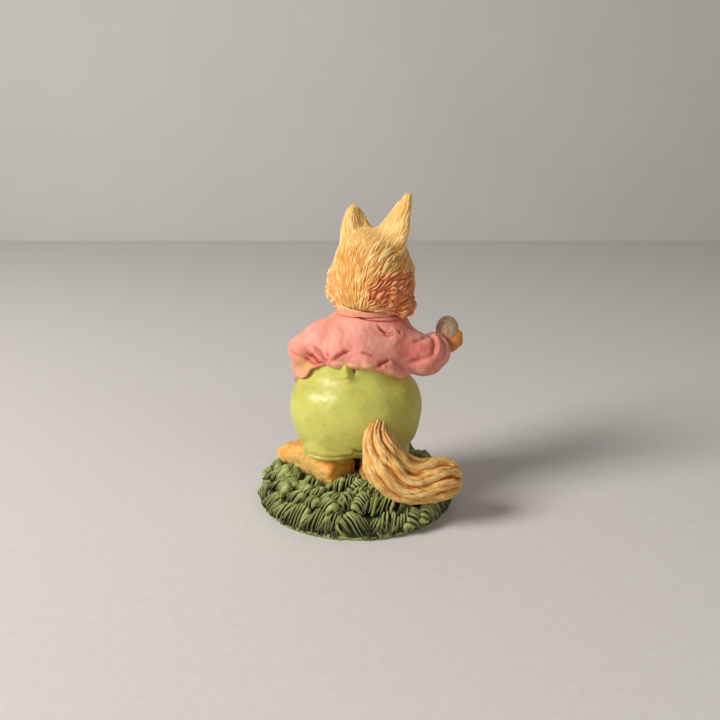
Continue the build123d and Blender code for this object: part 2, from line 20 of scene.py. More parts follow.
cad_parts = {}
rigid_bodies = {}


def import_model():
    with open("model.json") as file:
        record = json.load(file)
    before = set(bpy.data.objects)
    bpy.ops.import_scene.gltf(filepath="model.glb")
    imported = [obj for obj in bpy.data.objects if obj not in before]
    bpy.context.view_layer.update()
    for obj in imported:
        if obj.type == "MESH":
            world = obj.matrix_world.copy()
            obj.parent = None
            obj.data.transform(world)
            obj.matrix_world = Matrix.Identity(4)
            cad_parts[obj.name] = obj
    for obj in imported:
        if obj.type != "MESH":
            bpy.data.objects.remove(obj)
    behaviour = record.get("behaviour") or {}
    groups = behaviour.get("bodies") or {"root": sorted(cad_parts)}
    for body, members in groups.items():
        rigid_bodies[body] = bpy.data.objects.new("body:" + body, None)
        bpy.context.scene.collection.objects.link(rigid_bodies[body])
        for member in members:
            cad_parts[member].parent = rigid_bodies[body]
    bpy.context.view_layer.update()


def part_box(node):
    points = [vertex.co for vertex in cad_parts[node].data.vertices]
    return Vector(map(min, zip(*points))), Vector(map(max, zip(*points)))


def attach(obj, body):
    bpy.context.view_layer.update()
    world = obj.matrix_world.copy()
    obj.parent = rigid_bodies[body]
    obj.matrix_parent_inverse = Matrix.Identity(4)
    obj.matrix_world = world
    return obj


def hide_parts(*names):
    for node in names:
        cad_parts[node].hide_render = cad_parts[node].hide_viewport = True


for leftover in list(bpy.data.objects):
    bpy.data.objects.remove(leftover, do_unlink=True)

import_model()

MM = 0.001

# Camera

VIEW_FOCUS = 800.0                      # focal length in pixels of a 720 pixel wide picture
VIEW_MIDDLE = 360.0
VIEW_PITCH = math.radians(15.24)
VIEW_PLACE = np.array((-0.93, 170.6, 79.4))
SENSOR_WIDTH = 36.0
NEAREST_METRES, FARTHEST_METRES = 0.005, 20.0


def sight_line(across, down):
    """Direction from the camera through a point of a 720 by 720 picture."""
    side = (across - VIEW_MIDDLE) / VIEW_FOCUS
    rise = (VIEW_MIDDLE - down) / VIEW_FOCUS
    cos, sin = math.cos(VIEW_PITCH), math.sin(VIEW_PITCH)
    way = np.array((-side, -cos - sin * rise, -sin + cos * rise))
    return way / np.linalg.norm(way)


def set_camera():
    data = bpy.data.cameras.new("camera")
    data.sensor_width = SENSOR_WIDTH
    data.lens = SENSOR_WIDTH * VIEW_FOCUS / (2 * VIEW_MIDDLE)
    data.clip_start, data.clip_end = NEAREST_METRES, FARTHEST_METRES
    camera = bpy.data.objects.new("camera", data)
    camera.location = VIEW_PLACE * MM
    camera.rotation_euler = (math.radians(90) - VIEW_PITCH, 0, math.radians(180))
    bpy.context.scene.collection.objects.link(camera)
    bpy.context.scene.camera = camera


# Clay

COARSE_PITCH, FINE_PITCH, EYE_PITCH = 0.25, 0.15, 0.1


def node_mesh(name):
    """Points in millimetres and triangles of a CAD node."""
    mesh = bpy.data.objects[name].data
    points = np.empty(len(mesh.vertices) * 3, dtype=np.float32)
    mesh.vertices.foreach_get("co", points)
    mesh.calc_loop_triangles()
    corners = np.empty(len(mesh.loop_triangles) * 3, dtype=np.int32)
    mesh.loop_triangles.foreach_get("vertices", corners)
    return points.reshape(-1, 3) / MM, corners.reshape(-1, 3).astype(np.uint32)


def soft_min(first, second, blend):
    """The lesser of two distances, rounded where they are within a blend of each other."""
    if blend <= 0:
        return np.minimum(first, second)
    share = np.clip(0.5 + 0.5 * (second - first) / blend, 0, 1)
    return second + (first - second) * share - blend * share * (1 - share)


class Clay:
    """A grid of distances in millimetres over some CAD nodes, below zero inside them.

    A node that is sunk stands back from its CAD surface by that much.
    """

    REACH = 2.4                         # distances are kept up to here
    PATCH_EDGE = 0.4                    # blend of the ball that a patch is cut with

    def __init__(self, nodes, pitch=COARSE_PITCH, blend=0.0, room=1.6, sunk=None):
        self.pitch = pitch
        sunk = sunk or {}
        boxes = [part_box(name) for name in nodes]
        low = np.min([np.array(box[0]) for box in boxes], axis=0) / MM - room
        high = np.max([np.array(box[1]) for box in boxes], axis=0) / MM + room
        self.start = np.floor(low / pitch).astype(int)
        self.shape = tuple((np.ceil(high / pitch).astype(int) - self.start + 1).tolist())
        self.grid = np.full(self.shape, self.REACH, dtype=np.float32)
        for name in nodes:
            self.grid = soft_min(self.grid, self.cast(name) + sunk.get(name, 0.0), blend)

    def cast(self, name):
        """Distances to one CAD node."""
        points, corners = node_mesh(name)
        level = openvdb.FloatGrid.createLevelSetFromPolygons(
            points, triangles=corners, halfWidth=self.REACH / self.pitch,
            transform=openvdb.createLinearTransform(voxelSize=self.pitch))
        grid = np.empty(self.shape, dtype=np.float32)
        level.copyToArray(grid, ijk=tuple(int(step) for step in self.start))
        return grid

    def window(self, low, high):
        """The slices and the x, y, z of the grid's cells between two corners."""
        first = np.clip(np.floor(np.array(low) / self.pitch).astype(int) - self.start, 0, self.shape)
        last = np.clip(np.ceil(np.array(high) / self.pitch).astype(int) - self.start + 1, 0, self.shape)
        slices = tuple(slice(a, b) for a, b in zip(first.tolist(), last.tolist()))
        axes = [((np.arange(a, b) + s) * self.pitch).astype(np.float32)
                for a, b, s in zip(first.tolist(), last.tolist(), self.start.tolist())]
        return slices, (axes[0][:, None, None], axes[1][None, :, None], axes[2][None, None, :])

    def tube(self, points, radii, blend):
        """Adds a tapering round bar along points."""
        points = np.array(points, dtype=float)
        if np.ndim(radii) == 0:
            radii = [radii] * len(points)
        most = max(radii) + blend + self.pitch * 2
        for start, end, thick, thin in zip(points, points[1:], radii, radii[1:]):
            slices, (x, y, z) = self.window(np.minimum(start, end) - most, np.maximum(start, end) + most)
            if min(part.stop - part.start for part in slices) <= 0:
                continue
            way = end - start
            along = ((x - start[0]) * way[0] + (y - start[1]) * way[1] + (z - start[2]) * way[2])
            along = np.clip(along / max(way @ way, 1e-9), 0, 1)
            gap = np.sqrt((x - start[0] - along * way[0]) ** 2 + (y - start[1] - along * way[1]) ** 2
                          + (z - start[2] - along * way[2]) ** 2)
            self.merge(slices, gap - (thick + (thin - thick) * along), blend)

    def ball(self, centre, radii, blend):
        """Adds a ball or an egg shape whose axes follow x, y and z."""
        radii = np.array(radii, dtype=float) * np.ones(3)
        centre = np.array(centre, dtype=float)
        most = radii + blend + self.pitch * 2
        slices, (x, y, z) = self.window(centre - most, centre + most)
        x, y, z = (x - centre[0]) / radii[0], (y - centre[1]) / radii[1], (z - centre[2]) / radii[2]
        size = np.sqrt(x * x + y * y + z * z)
        self.merge(slices, (size - 1) * radii.min(), blend)

    def merge(self, slices, gap, blend):
        self.grid[slices] = soft_min(self.grid[slices], gap, blend)

    def soften(self, width):
        """Rounds edges off by averaging the distances over a width."""
        steps = max(1, int(round(width / self.pitch)))
        for axis in range(3):
            total = np.zeros_like(self.grid)
            for step in range(-steps, steps + 1):
                total += np.roll(self.grid, step, axis=axis)
            self.grid = total / (2 * steps + 1)

    def swell(self, amount):
        self.grid -= amount

    def patch(self, centre, radius, proud, blend):
        """The part of this clay inside a ball, standing a little proud of it."""
        part = copy.copy(self)
        part.grid = np.full_like(self.grid, self.REACH)
        part.ball(centre, radius, self.PATCH_EDGE)
        part.grid = -soft_min(-part.grid, proud - self.grid, blend)
        return part

    def skin(self, name, finer=1):
        """The clay's surface as a mesh of quads, split finer for carving."""
        level = openvdb.FloatGrid()
        level.background = self.REACH
        level.copyFromArray(self.grid)
        points, quads = level.convertToQuads(isovalue=0.0)
        points = (points + self.start) * self.pitch
        return Skin(name, points, quads, finer)


# Skin

SIGHT_STEP = 2.0                        # pixels between the points of a line drawn by sights
FOLD_REACH, FOLD_END, FOLD_END_FROM = 2.6, 0.18, 0.35
WASH_WIDTH_SHARE = 0.7                  # of the width of the fold that the wash lies in


class Skin:
    """A piece's surface: points in millimetres with outward normals, and the marks that its paint reads.

    Folds planned for it wait in shift until the surface is pushed.
    """

    def __init__(self, name, points, quads, finer=0):
        mesh = bpy.data.meshes.new(name)
        mesh.from_pydata([], [], [])
        mesh.vertices.add(len(points))
        mesh.vertices.foreach_set("co", (np.asarray(points) * MM).astype(np.float32).ravel())
        mesh.loops.add(len(quads) * 4)
        mesh.loops.foreach_set("vertex_index", np.asarray(quads).astype(np.int32).ravel())
        mesh.polygons.add(len(quads))
        mesh.polygons.foreach_set("loop_start", np.arange(0, len(quads) * 4, 4, dtype=np.int32))
        mesh.update(calc_edges=True)
        mesh.validate()
        self.piece = bpy.data.objects.new(name, mesh)
        bpy.context.scene.collection.objects.link(self.piece)
        if finer:
            modifier = self.piece.modifiers.new("finer", "SUBSURF")
            modifier.levels = modifier.render_levels = finer
            scene_state = bpy.context.evaluated_depsgraph_get()
            dense = bpy.data.meshes.new_from_object(self.piece.evaluated_get(scene_state))
            self.piece.modifiers.clear()
            self.piece.data = dense
            bpy.data.meshes.remove(mesh)
            dense.name = name
        self.read()
        centre = self.points.mean(axis=0)
        if ((self.points - centre) * self.normals).sum() < 0:
            self.piece.data.flip_normals()
            self.read()
        self.shift = np.zeros(len(self.points))
        self.marks = {}

    def read(self):
        mesh = self.piece.data
        self.points = np.empty(len(mesh.vertices) * 3, dtype=np.float32)
        mesh.vertices.foreach_get("co", self.points)
        self.points = self.points.reshape(-1, 3) / MM
        self.normals = np.empty(len(mesh.vertices) * 3, dtype=np.float32)
        mesh.vertex_normals.foreach_get("vector", self.normals)
        self.normals = self.normals.reshape(-1, 3)

    def write(self):
        mesh = self.piece.data
        mesh.vertices.foreach_set("co", (self.points * MM).astype(np.float32).ravel())
        mesh.update()
        self.read()

    def push(self, amount):
        """Moves the surface out along its normals, in millimetres."""
        self.points = self.points + self.normals * np.asarray(amount)[:, None]
        self.write()

    def bare(self, *names):
        """Starts marks at nothing."""
        for name in names:
            self.marks[name] = np.zeros(len(self.points))

    @functools.cached_property
    def tree(self):
        """The surface as it is when sights are first looked up on it."""
        mesh = self.piece.data
        faces = np.empty(len(mesh.polygons) * 4, dtype=np.int32)
        mesh.loops.foreach_get("vertex_index", faces)
        return BVHTree.FromPolygons(self.points.tolist(), faces.reshape(-1, 4).tolist())

    def spots(self, sights):
        """Where the camera's sight lines through picture points meet the surface."""
        found = []
        for across, down in sights:
            spot = self.tree.ray_cast(Vector(VIEW_PLACE), Vector(sight_line(across, down)))[0]
            if spot is not None:
                found.append(spot)
        return np.array(found)

    def line(self, sights):
        """A line drawn on the surface along sight lines, as points."""
        fine = []
        for (x0, y0), (x1, y1) in zip(sights, sights[1:]):
            count = max(1, int(math.hypot(x1 - x0, y1 - y0) / SIGHT_STEP))
            fine += [(x0 + (x1 - x0) * i / count, y0 + (y1 - y0) * i / count) for i in range(count)]
        return self.spots(fine + [sights[-1]])

    def near(self, path, width):
        """Closeness, from 0 to 1, of each point to a line, tapering off at the line's ends."""
        path = np.asarray(path)
        close = np.zeros(len(self.points))
        if len(path) < 2:
            return close
        reach = width * FOLD_REACH
        low, high = path.min(axis=0) - reach, path.max(axis=0) + reach
        inside = np.all((self.points > low) & (self.points < high), axis=1)
        here = self.points[inside]
        if not len(here):
            return close
        best = np.full(len(here), 1e9)
        where = np.zeros(len(here))
        lengths = np.linalg.norm(np.diff(path, axis=0), axis=1)
        total = lengths.sum()
        gone = 0.0
        for start, end, length in zip(path, path[1:], lengths):
            way = end - start
            along = np.clip(((here - start) @ way) / max(way @ way, 1e-9), 0, 1)
            gap = np.linalg.norm(here - start - along[:, None] * way, axis=1)
            closer = gap < best
            best[closer] = gap[closer]
            where[closer] = (gone + along[closer] * length) / total
            gone += length
        taper = np.clip(np.minimum(where, 1 - where) / FOLD_END, 0, 1)
        taper = FOLD_END_FROM + (1 - FOLD_END_FROM) * taper * taper * (3 - 2 * taper)
        close[inside] = np.exp(-(best / width) ** 2) * taper
        return close

    def fold(self, sights, width, height, wash=0.0, mark="groove"):
        """Plans a raised or sunk fold along a line of sights, with wash beside it in a mark."""
        path = self.line(sights)
        self.shift = self.shift + height * self.near(path, width)
        if wash:
            tight = self.near(path, width * WASH_WIDTH_SHARE)
            self.marks[mark] = np.clip(self.marks[mark] + wash * tight, -1, 1)

    def daub(self, mark, sights, radius, amount=1.0):
        """Adds soft round daubs at sights to a mark."""
        for spot in self.spots(sights):
            gap = np.sum((self.points - spot) ** 2, axis=1)
            self.marks[mark] = self.marks[mark] + amount * np.exp(-gap / radius ** 2)

    def mottle(self, mark, base, amount, size, seed, most=1.0):
        """Makes a mark uneven, and keeps it between 0 and a greatest value."""
        uneven = self.marks[mark] * (base + amount * ripples(self.points, size, seed))
        self.marks[mark] = np.clip(uneven, 0, most)

    def hollows(self, rounds):
        """How far each point lies below the surface round it, in millimetres; hills are negative."""
        mesh = self.piece.data
        edges = np.empty(len(mesh.edges) * 2, dtype=np.int32)
        mesh.edges.foreach_get("vertices", edges)
        one, two = edges.reshape(-1, 2).T
        count = len(self.points)
        partners = np.bincount(one, minlength=count) + np.bincount(two, minlength=count)
        smooth = self.points.astype(np.float64)
        for _ in range(rounds):
            smooth = np.stack([
                np.bincount(one, weights=smooth[two, axis], minlength=count)
                + np.bincount(two, weights=smooth[one, axis], minlength=count)
                for axis in range(3)], axis=1) / np.maximum(partners, 1)[:, None]
        return np.sum((smooth - self.points) * self.normals, axis=1)

    def dress(self, material, slot, *nodes):
        """Hands the marks to the paint, shades the piece smooth, and ties it to the frame."""
        mesh = self.piece.data
        for name, values in self.marks.items():
            layer = mesh.attributes.new(name, "FLOAT", "POINT")
            layer.data.foreach_set("value", np.asarray(values, dtype=np.float32).ravel())
        mesh.materials.clear()
        mesh.materials.append(material)
        mesh.polygons.foreach_set("use_smooth", np.ones(len(mesh.polygons), dtype=bool))
        mesh.update()
        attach(self.piece, "root")
        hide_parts(*nodes)


# Carving

RIPPLE_WAVES, RIPPLE_HEIGHT = 10, 0.9
LOCK_TRIES = 9000
LOCK_BATCH, STROKE_BATCH = 4000, 1500   # points worked out at a time, to spare memory
LOCK_GAP_SHARE = 0.5                    # least squared distance between locks, counted in locks
LEAST_SEED_LIFT, LEAST_LOCK_LIFT = 0.8, 0.9
STROKE_LENGTHS, STROKE_WIDTHS, STROKE_DEPTHS = (0.55, 1.3), (0.7, 1.4), (0.35, 1.0)
STROKE_CURL, STROKE_LIFT = 0.3, 1.2


def ripples(points, size, seed):
    """Smooth lumps between about -1 and 1 over points, from slanting waves of about one size."""
    draw = np.random.default_rng(seed)
    total = np.zeros(len(points))
    for _ in range(RIPPLE_WAVES):
        way = draw.normal(size=3)
        way *= 2 * math.pi / (size * draw.uniform(0.7, 1.5) * np.linalg.norm(way))
        total += np.sin(points @ way + draw.uniform(0, 2 * math.pi))
    return total / math.sqrt(RIPPLE_WAVES) * RIPPLE_HEIGHT


def lumps(points, *rows, start=0.0):
    """Ripples of several sizes together; a row is a height, a size and a seed."""
    for height, size, seed in rows:
        start = start + height * ripples(points, size, seed)
    return start


def smooth_step(values, low, high):
    """Rises smoothly from 0 at a low value to 1 at a high one."""
    share = np.clip((values - low) / (high - low), 0, 1)
    return share * share * (3 - 2 * share)


def lay_flat(flow, normals):
    """Ways laid along the surface, as unit lengths."""
    flow = flow - normals * np.sum(flow * normals, axis=1)[:, None]
    flow /= np.maximum(np.linalg.norm(flow, axis=1), 1e-6)[:, None]
    return flow


def spread_seeds(points, flow, normals, long, wide, tries, draw, gap_share):
    """Picks points so that no two lie within about a lock, or a share of one, of each other."""
    kept = []
    order = draw.permutation(len(points))[:tries]
    kept_points = np.empty((len(order), 3))
    count = 0
    for index in order:
        if count:
            gap = kept_points[:count] - points[index]
            along = gap @ flow[index] / long
            side = gap @ np.cross(normals[index], flow[index]) / wide
            lift = gap @ normals[index] / max(wide, LEAST_SEED_LIFT)
            if (along * along + side * side + lift * lift).min() < gap_share:
                continue
        kept_points[count] = points[index]
        count += 1
        kept.append(index)
    return np.array(kept)


def locks(skin, flow, long, wide, seed, warp, warp_size=3.0):
    """Divides a surface into long narrow locks that follow a flow.

    Gives, for each point, how far inside its lock it lies (0 at a groove), how far along
    the lock (-1 at the root, 1 at the tip), and a number from 0 to 1 that belongs to the lock.
    """
    draw = np.random.default_rng(seed)
    points, normals = skin.points.astype(np.float64), skin.normals.astype(np.float64)
    flow = lay_flat(flow, normals)
    seeds = spread_seeds(points, flow, normals, long, wide, LOCK_TRIES, draw, LOCK_GAP_SHARE)
    ways = flow[seeds]
    sides = np.cross(normals[seeds], ways)
    lifts = normals[seeds]
    bent = points + warp * np.stack([ripples(points, warp_size, seed + i) for i in range(3)], axis=1)
    inside = np.empty(len(points))
    along = np.empty(len(points))
    owner = np.empty(len(points), dtype=int)
    marks = points[seeds]
    bases = [(ways, long), (sides, wide), (lifts, max(wide, LEAST_LOCK_LIFT))]
    offsets = [np.sum(base * marks, axis=1) for base, _ in bases]
    for first in range(0, len(points), LOCK_BATCH):
        part = slice(first, first + LOCK_BATCH)
        gaps = [(bent[part] @ base.T - offset) / size for (base, size), offset in zip(bases, offsets)]
        square = gaps[0] ** 2 + gaps[1] ** 2 + gaps[2] ** 2
        two = np.argpartition(square, 1, axis=1)[:, :2]
        pair = np.take_along_axis(square, two, axis=1)
        nearest = np.where(pair[:, 0] <= pair[:, 1], two[:, 0], two[:, 1])
        pair = np.sqrt(np.sort(pair, axis=1))
        inside[part] = pair[:, 1] - pair[:, 0]
        along[part] = np.take_along_axis(gaps[0], nearest[:, None], axis=1)[:, 0]
        owner[part] = nearest
    return inside, np.clip(along, -1, 1), draw.random(len(seeds))[owner]


def strokes(skin, flow, long, wide, count, seed, apart=0.16):
    """Short tapering cuts that follow a flow; gives how deep each point lies in one, from 0 to 1.

    Apart is how much room each cut keeps, and how far the cuts stray from the flow.
    """
    draw = np.random.default_rng(seed)
    points, normals = skin.points.astype(np.float64), skin.normals.astype(np.float64)
    flow = lay_flat(flow, normals)
    seeds = spread_seeds(points, flow, normals, long * 0.9, wide * 2.6, count * 4, draw, apart)[:count]
    turn = draw.normal(scale=apart, size=len(seeds))[:, None]
    sides = np.cross(normals[seeds], flow[seeds])
    ways = flow[seeds] * np.cos(turn) + sides * np.sin(turn)
    sides = np.cross(normals[seeds], ways)
    lengths = long * draw.uniform(*STROKE_LENGTHS, len(seeds))
    widths = wide * draw.uniform(*STROKE_WIDTHS, len(seeds))
    depths = draw.uniform(*STROKE_DEPTHS, len(seeds))
    bends = STROKE_CURL * draw.normal(size=len(seeds))
    marks, lifts = points[seeds], normals[seeds]
    deep = np.zeros(len(points))
    cell = long * 1.4
    order = np.argsort(np.floor(points[:, 2] / cell) * 1e4 + np.floor(points[:, 0] / cell), kind="stable")
    for first in range(0, len(points), STROKE_BATCH):
        part = order[first:first + STROKE_BATCH]
        here = points[part]
        near = np.all((marks > here.min(axis=0) - cell) & (marks < here.max(axis=0) + cell), axis=1)
        if not near.any():
            continue
        along = (here @ ways[near].T - np.sum(ways[near] * marks[near], axis=1)) / lengths[near]
        side = here @ sides[near].T - np.sum(sides[near] * marks[near], axis=1)
        side = side - bends[near] * along * along * lengths[near] * 0.5
        side = side / (widths[near] * (1.1 - 0.5 * along))
        lift = (here @ lifts[near].T - np.sum(lifts[near] * marks[near], axis=1)) / STROKE_LIFT
        reach = np.clip(1 - along * along, 0, 1)
        cut = depths[near] * np.exp(-side * side - lift * lift) * reach ** 0.7
        deep[part] = cut.max(axis=1)
    return deep


# Paint

BLOTCH_RAMP = (0.35, 0.7)
FUR_BLOTCH_RAMP = (0.35, 0.68)


def colour(red, green, blue):
    """A colour from the 0 to 255 values that a paint chart gives."""
    def linear(value):
        value /= 255
        return value / 12.92 if value <= 0.04045 else ((value + 0.055) / 1.055) ** 2.4
    return (linear(red), linear(green), linear(blue), 1.0)


class Wire:
    """A socket that can be multiplied like a number."""

    def __init__(self, paint, socket):
        self.paint = paint
        self.socket = socket

    def __mul__(self, other):
        return self.paint.node("ShaderNodeMath", {"operation": "MULTIPLY"}, {0: self, 1: other})

    __rmul__ = __mul__


class Paint:
    """A painted finish made of nodes, which reads the marks of the piece that it lies on."""

    def __init__(self, name, roughness=0.55, coat=0.0, coat_roughness=0.4, specular=0.4):
        self.material = bpy.data.materials.new(name)
        self.material.use_nodes = True
        self.tree = self.material.node_tree
        self.shader = self.tree.nodes["Principled BSDF"]
        for socket, value in (("Roughness", roughness), ("Coat Weight", coat),
                              ("Coat Roughness", coat_roughness), ("Specular IOR Level", specular)):
            self.shader.inputs[socket].default_value = value
        self.place = self.node("ShaderNodeTexCoord", output="Object")

    def node(self, kind, settings=None, sockets=None, output=0):
        """Adds any node: its settings first, then the values or wires of its sockets."""
        made = self.tree.nodes.new(kind)
        for name, value in (settings or {}).items():
            setattr(made, name, value)
        for name, value in (sockets or {}).items():
            self.join(made.inputs[name], value)
        return Wire(self, made.outputs[output])

    def join(self, socket, value):
        if isinstance(value, Wire):
            self.tree.links.new(value.socket, socket)
        else:
            socket.default_value = value

    def feed(self, name, value):
        self.join(self.shader.inputs[name], value)

    def mark(self, name):
        return self.node("ShaderNodeAttribute", {"attribute_name": name}, output="Fac")

    def noise(self, size, detail=3.0, rough=0.55):
        """Soft blotches of about a size in millimetres, from 0 to 1."""
        return self.node("ShaderNodeTexNoise", {}, {
            "Vector": self.place, "Scale": 1 / (size * MM), "Detail": detail, "Roughness": rough},
            output="Fac")

    def ramp(self, value, low, high, start=0.0, end=1.0):
        """Maps a value between low and high smoothly onto start and end."""
        return self.node("ShaderNodeMapRange", {"interpolation_type": "SMOOTHSTEP"}, {
            "Value": value, "From Min": low, "From Max": high, "To Min": start, "To Max": end})

    def mix(self, first, second, share):
        return self.node("ShaderNodeMix", {"data_type": "RGBA", "blend_type": "MIX"},
                         {0: share, 6: first, 7: second}, output=2)

    def patina(self, blotch, low, high):
        """Roughness that wanders between two values with the blotches."""
        self.feed("Roughness", self.ramp(blotch, 0.2, 0.8, low, high))

    def grain(self, size, height, strength):
        """A fine grain all over, in millimetres."""
        self.feed("Normal", self.node("ShaderNodeBump", {}, {
            "Height": self.noise(size, 4.0), "Distance": height * MM, "Strength": strength}))


def fur_paint():
    paint = Paint("fox_fur_paint", roughness=0.62, specular=0.3)
    straw, honey, pale = colour(253, 222, 148), colour(248, 208, 126), colour(255, 228, 168)
    rust, pink = colour(232, 140, 90), colour(253, 188, 138)
    yellow_wash, rust_wash, nape = colour(210, 126, 22), colour(178, 76, 36), colour(246, 226, 160)
    groove, strand, rusty, cream = (paint.mark(name) for name in ("groove", "strand", "rust", "cream"))
    blotch = paint.noise(2.6)
    tint = paint.mix(straw, honey, paint.ramp(blotch, *FUR_BLOTCH_RAMP))
    # pale on the strands is partly tone that differs by lock and partly painted highlight on the raised fur;
    # pink on the tops of the cheek tufts is painted highlight
    tint = paint.mix(tint, pale, paint.ramp(strand, 0.4, 1.0) * 0.7)
    tint = paint.mix(tint, paint.mix(rust, pink, paint.ramp(strand, 0.25, 0.75)), rusty)
    tint = paint.mix(tint, nape, cream)
    paint.feed("Base Color", paint.mix(tint, paint.mix(yellow_wash, rust_wash, rusty), groove))
    paint.patina(blotch, 0.55, 0.7)
    paint.grain(0.35, 0.05, 0.5)
    return paint.material


def tail_paint():
    paint = Paint("tail_fur_paint", roughness=0.58, specular=0.32)
    straw, honey, pale = colour(242, 202, 122), colour(224, 168, 84), colour(252, 222, 168)
    groove, strand = paint.mark("groove"), paint.mark("strand")
    tint = paint.mix(straw, honey, paint.ramp(paint.noise(3.0), *FUR_BLOTCH_RAMP))
    # pale on the raised strands is painted highlight, with some tone that differs by lock
    tint = paint.mix(tint, pale, paint.ramp(strand, 0.5, 1.0) * 0.5)
    paint.feed("Base Color", paint.mix(tint, colour(190, 98, 18), groove))
    paint.grain(0.4, 0.05, 0.5)
    return paint.material


def jacket_paint():
    paint = Paint("pink_jacket_paint", roughness=0.55, specular=0.35)
    pink, deep_pink, shaded_pink = colour(246, 172, 152), colour(236, 150, 132), colour(222, 124, 110)
    tan, bare_edge, red_wash = colour(222, 168, 100), colour(232, 180, 128), colour(176, 56, 44)
    crease, rim, stain, painted_shade = (paint.mark(name) for name in ("groove", "edge", "stain", "painted_shade"))
    blotch = paint.noise(4.0)
    tint = paint.mix(pink, deep_pink, paint.ramp(blotch, *BLOTCH_RAMP))
    # the darker dusky pink is painted shade, laid in the creases and over the jacket's shaded right side
    for coat, share in ((shaded_pink, painted_shade), (tan, stain), (bare_edge, rim), (red_wash, crease)):
        tint = paint.mix(tint, coat, share)
    paint.feed("Base Color", tint)
    paint.patina(blotch, 0.48, 0.62)
    paint.grain(0.5, 0.05, 0.5)
    return paint.material


def trouser_paint():
    paint = Paint("lime_trouser_paint", roughness=0.4, coat=0.4, coat_roughness=0.36, specular=0.4)
    lime, olive, moss, brown_wash = (colour(206, 204, 98), colour(196, 188, 82), colour(150, 160, 60),
                                     colour(120, 84, 36))
    crease, stain = paint.mark("groove"), paint.mark("stain")
    blotch = paint.noise(5.0)
    tint = paint.mix(lime, olive, paint.ramp(blotch, *BLOTCH_RAMP))
    tint = paint.mix(tint, moss, stain)
    paint.feed("Base Color", paint.mix(tint, brown_wash, crease))
    paint.patina(blotch, 0.34, 0.5)
    paint.grain(0.7, 0.05, 0.4)
    return paint.material


def boot_paint():
    paint = Paint("orange_boot_paint", roughness=0.6, specular=0.3)
    orange, amber, tan, brown_wash = (colour(252, 192, 104), colour(238, 160, 70), colour(214, 176, 98),
                                      colour(110, 52, 18))
    crease, stain = paint.mark("groove"), paint.mark("stain")
    tint = paint.mix(orange, amber, paint.ramp(paint.noise(2.0, 4.0), *BLOTCH_RAMP))
    tint = paint.mix(tint, tan, stain)
    paint.feed("Base Color", paint.mix(tint, brown_wash, crease))
    paint.grain(0.35, 0.08, 0.7)
    return paint.material


def grass_paint():
    paint = Paint("sage_grass_paint", roughness=0.7, specular=0.25)
    sage, leaf, shade = colour(186, 194, 126), colour(144, 154, 86), colour(34, 38, 18)
    tint = paint.mix(sage, leaf, paint.ramp(paint.noise(2.5), *BLOTCH_RAMP))
    # the groove mark on the grass is painted shade, low where the crests carry painted highlight
    paint.feed("Base Color", paint.mix(tint, shade, paint.mark("groove")))
    paint.grain(0.4, 0.06, 0.6)
    return paint.material


def neck_paint():
    paint = Paint("neck_fur_paint", roughness=0.6, specular=0.3)
    peach, apricot, straw, red_wash = (colour(232, 152, 124), colour(236, 172, 130), colour(238, 200, 132),
                                       colour(190, 70, 54))
    crease, high = paint.mark("groove"), paint.mark("edge")
    tint = paint.mix(peach, apricot, paint.ramp(paint.noise(2.0), *BLOTCH_RAMP))
    tint = paint.mix(tint, straw, high)
    paint.feed("Base Color", paint.mix(tint, red_wash, crease))
    paint.grain(0.4, 0.05, 0.5)
    return paint.material


def plain_paint(name, light, dark, size=1.5, roughness=0.5, coat=0.0):
    """A paint of two close colours, with a darker wash."""
    paint = Paint(name, roughness=roughness, coat=coat)
    tint = paint.mix(light, dark, paint.ramp(paint.noise(size, 4.0), *BLOTCH_RAMP))
    wash = tuple(part * 0.45 for part in dark[:3]) + (1.0,)
    paint.feed("Base Color", paint.mix(tint, wash, paint.mark("groove")))
    paint.grain(0.4, 0.04, 0.5)
    return paint.material


# Base

BASE_RADIUS = 21.3
BAND_HEIGHT = 1.3
MOUND_TOP = 5.2
MOUND_SHARES = ((0.0, 1.0), (0.45, 0.985), (0.80, 0.945), (0.95, 0.86), (1.0, 0.72))
SOIL_DEPTH = 0.5                        # below the level that the tufts stand on
RIM_RINGS = ((0.3, 0.0), (8, 0.0), (16, 0.0), (20.5, 0.0),
             (21.1, 0.12), (21.35, 0.4), (21.4, 0.85), (21.2, 1.2))     # radius and level, from the underside
RIM_WALL_FROM = 4                       # the ring where the wall of the rim begins
SOIL_LUMPS, RIM_LUMPS = ((0.30, 3.0, 5), (0.15, 1.2, 6)), ((0.10, 4.0, 7), (0.05, 1.3, 8))
MOUND_INNER, MOUND_CENTRE, MOUND_RINGS = 20.9, 0.3, 60
MOUND_STEPS = 260
# how dark the paint is: the soil, and the middle of the top, painted near-black as painted shade so that bare
# spots read as gaps among the tufts; the plain rim only lightly darkened
SOIL_PAINTED_SHADE, RIM_DARK, CENTRES_DARK = 0.92, 0.15, (0.2, 0.8)

GRASS_RING_SPACING = 3.9
RIM_GRASS = (BASE_RADIUS - 0.8, 1.4, 4.5, 4.0)      # distance from the middle, foot level, width, height
TOP_GRASS = (4.1, 3.0)                              # width, height
GRASS_REACH = 21.8                                  # how far the tips at the foot of the rim come out
GRASS_FLOOR = 0.50                                  # no tip hangs lower
GRASS_LEAN, GRASS_LEAN_SPREAD = -16, 8              # degrees
GRASS_ASIDE, BOOT_GRASS_LEAN = math.radians(24), math.radians(-10)
FOOT_SUNK, GAP_FOOT_SUNK, BEHIND_SUNK = 0.2, 0.5, 0.1       # how far below the ground's level they stand
RIM_DROP, TOP_DROP = 0.16, 0.08                     # how far tips hang below the foot, a share of height
HEEL_PLACES, HEEL_CLEARANCE = ((1.6, 12.4), (4.4, 12.8), (7.0, 12.6)), 2.3
TRODDEN_SHARE = 0.35                                # how much of its height a tuft behind the heel keeps
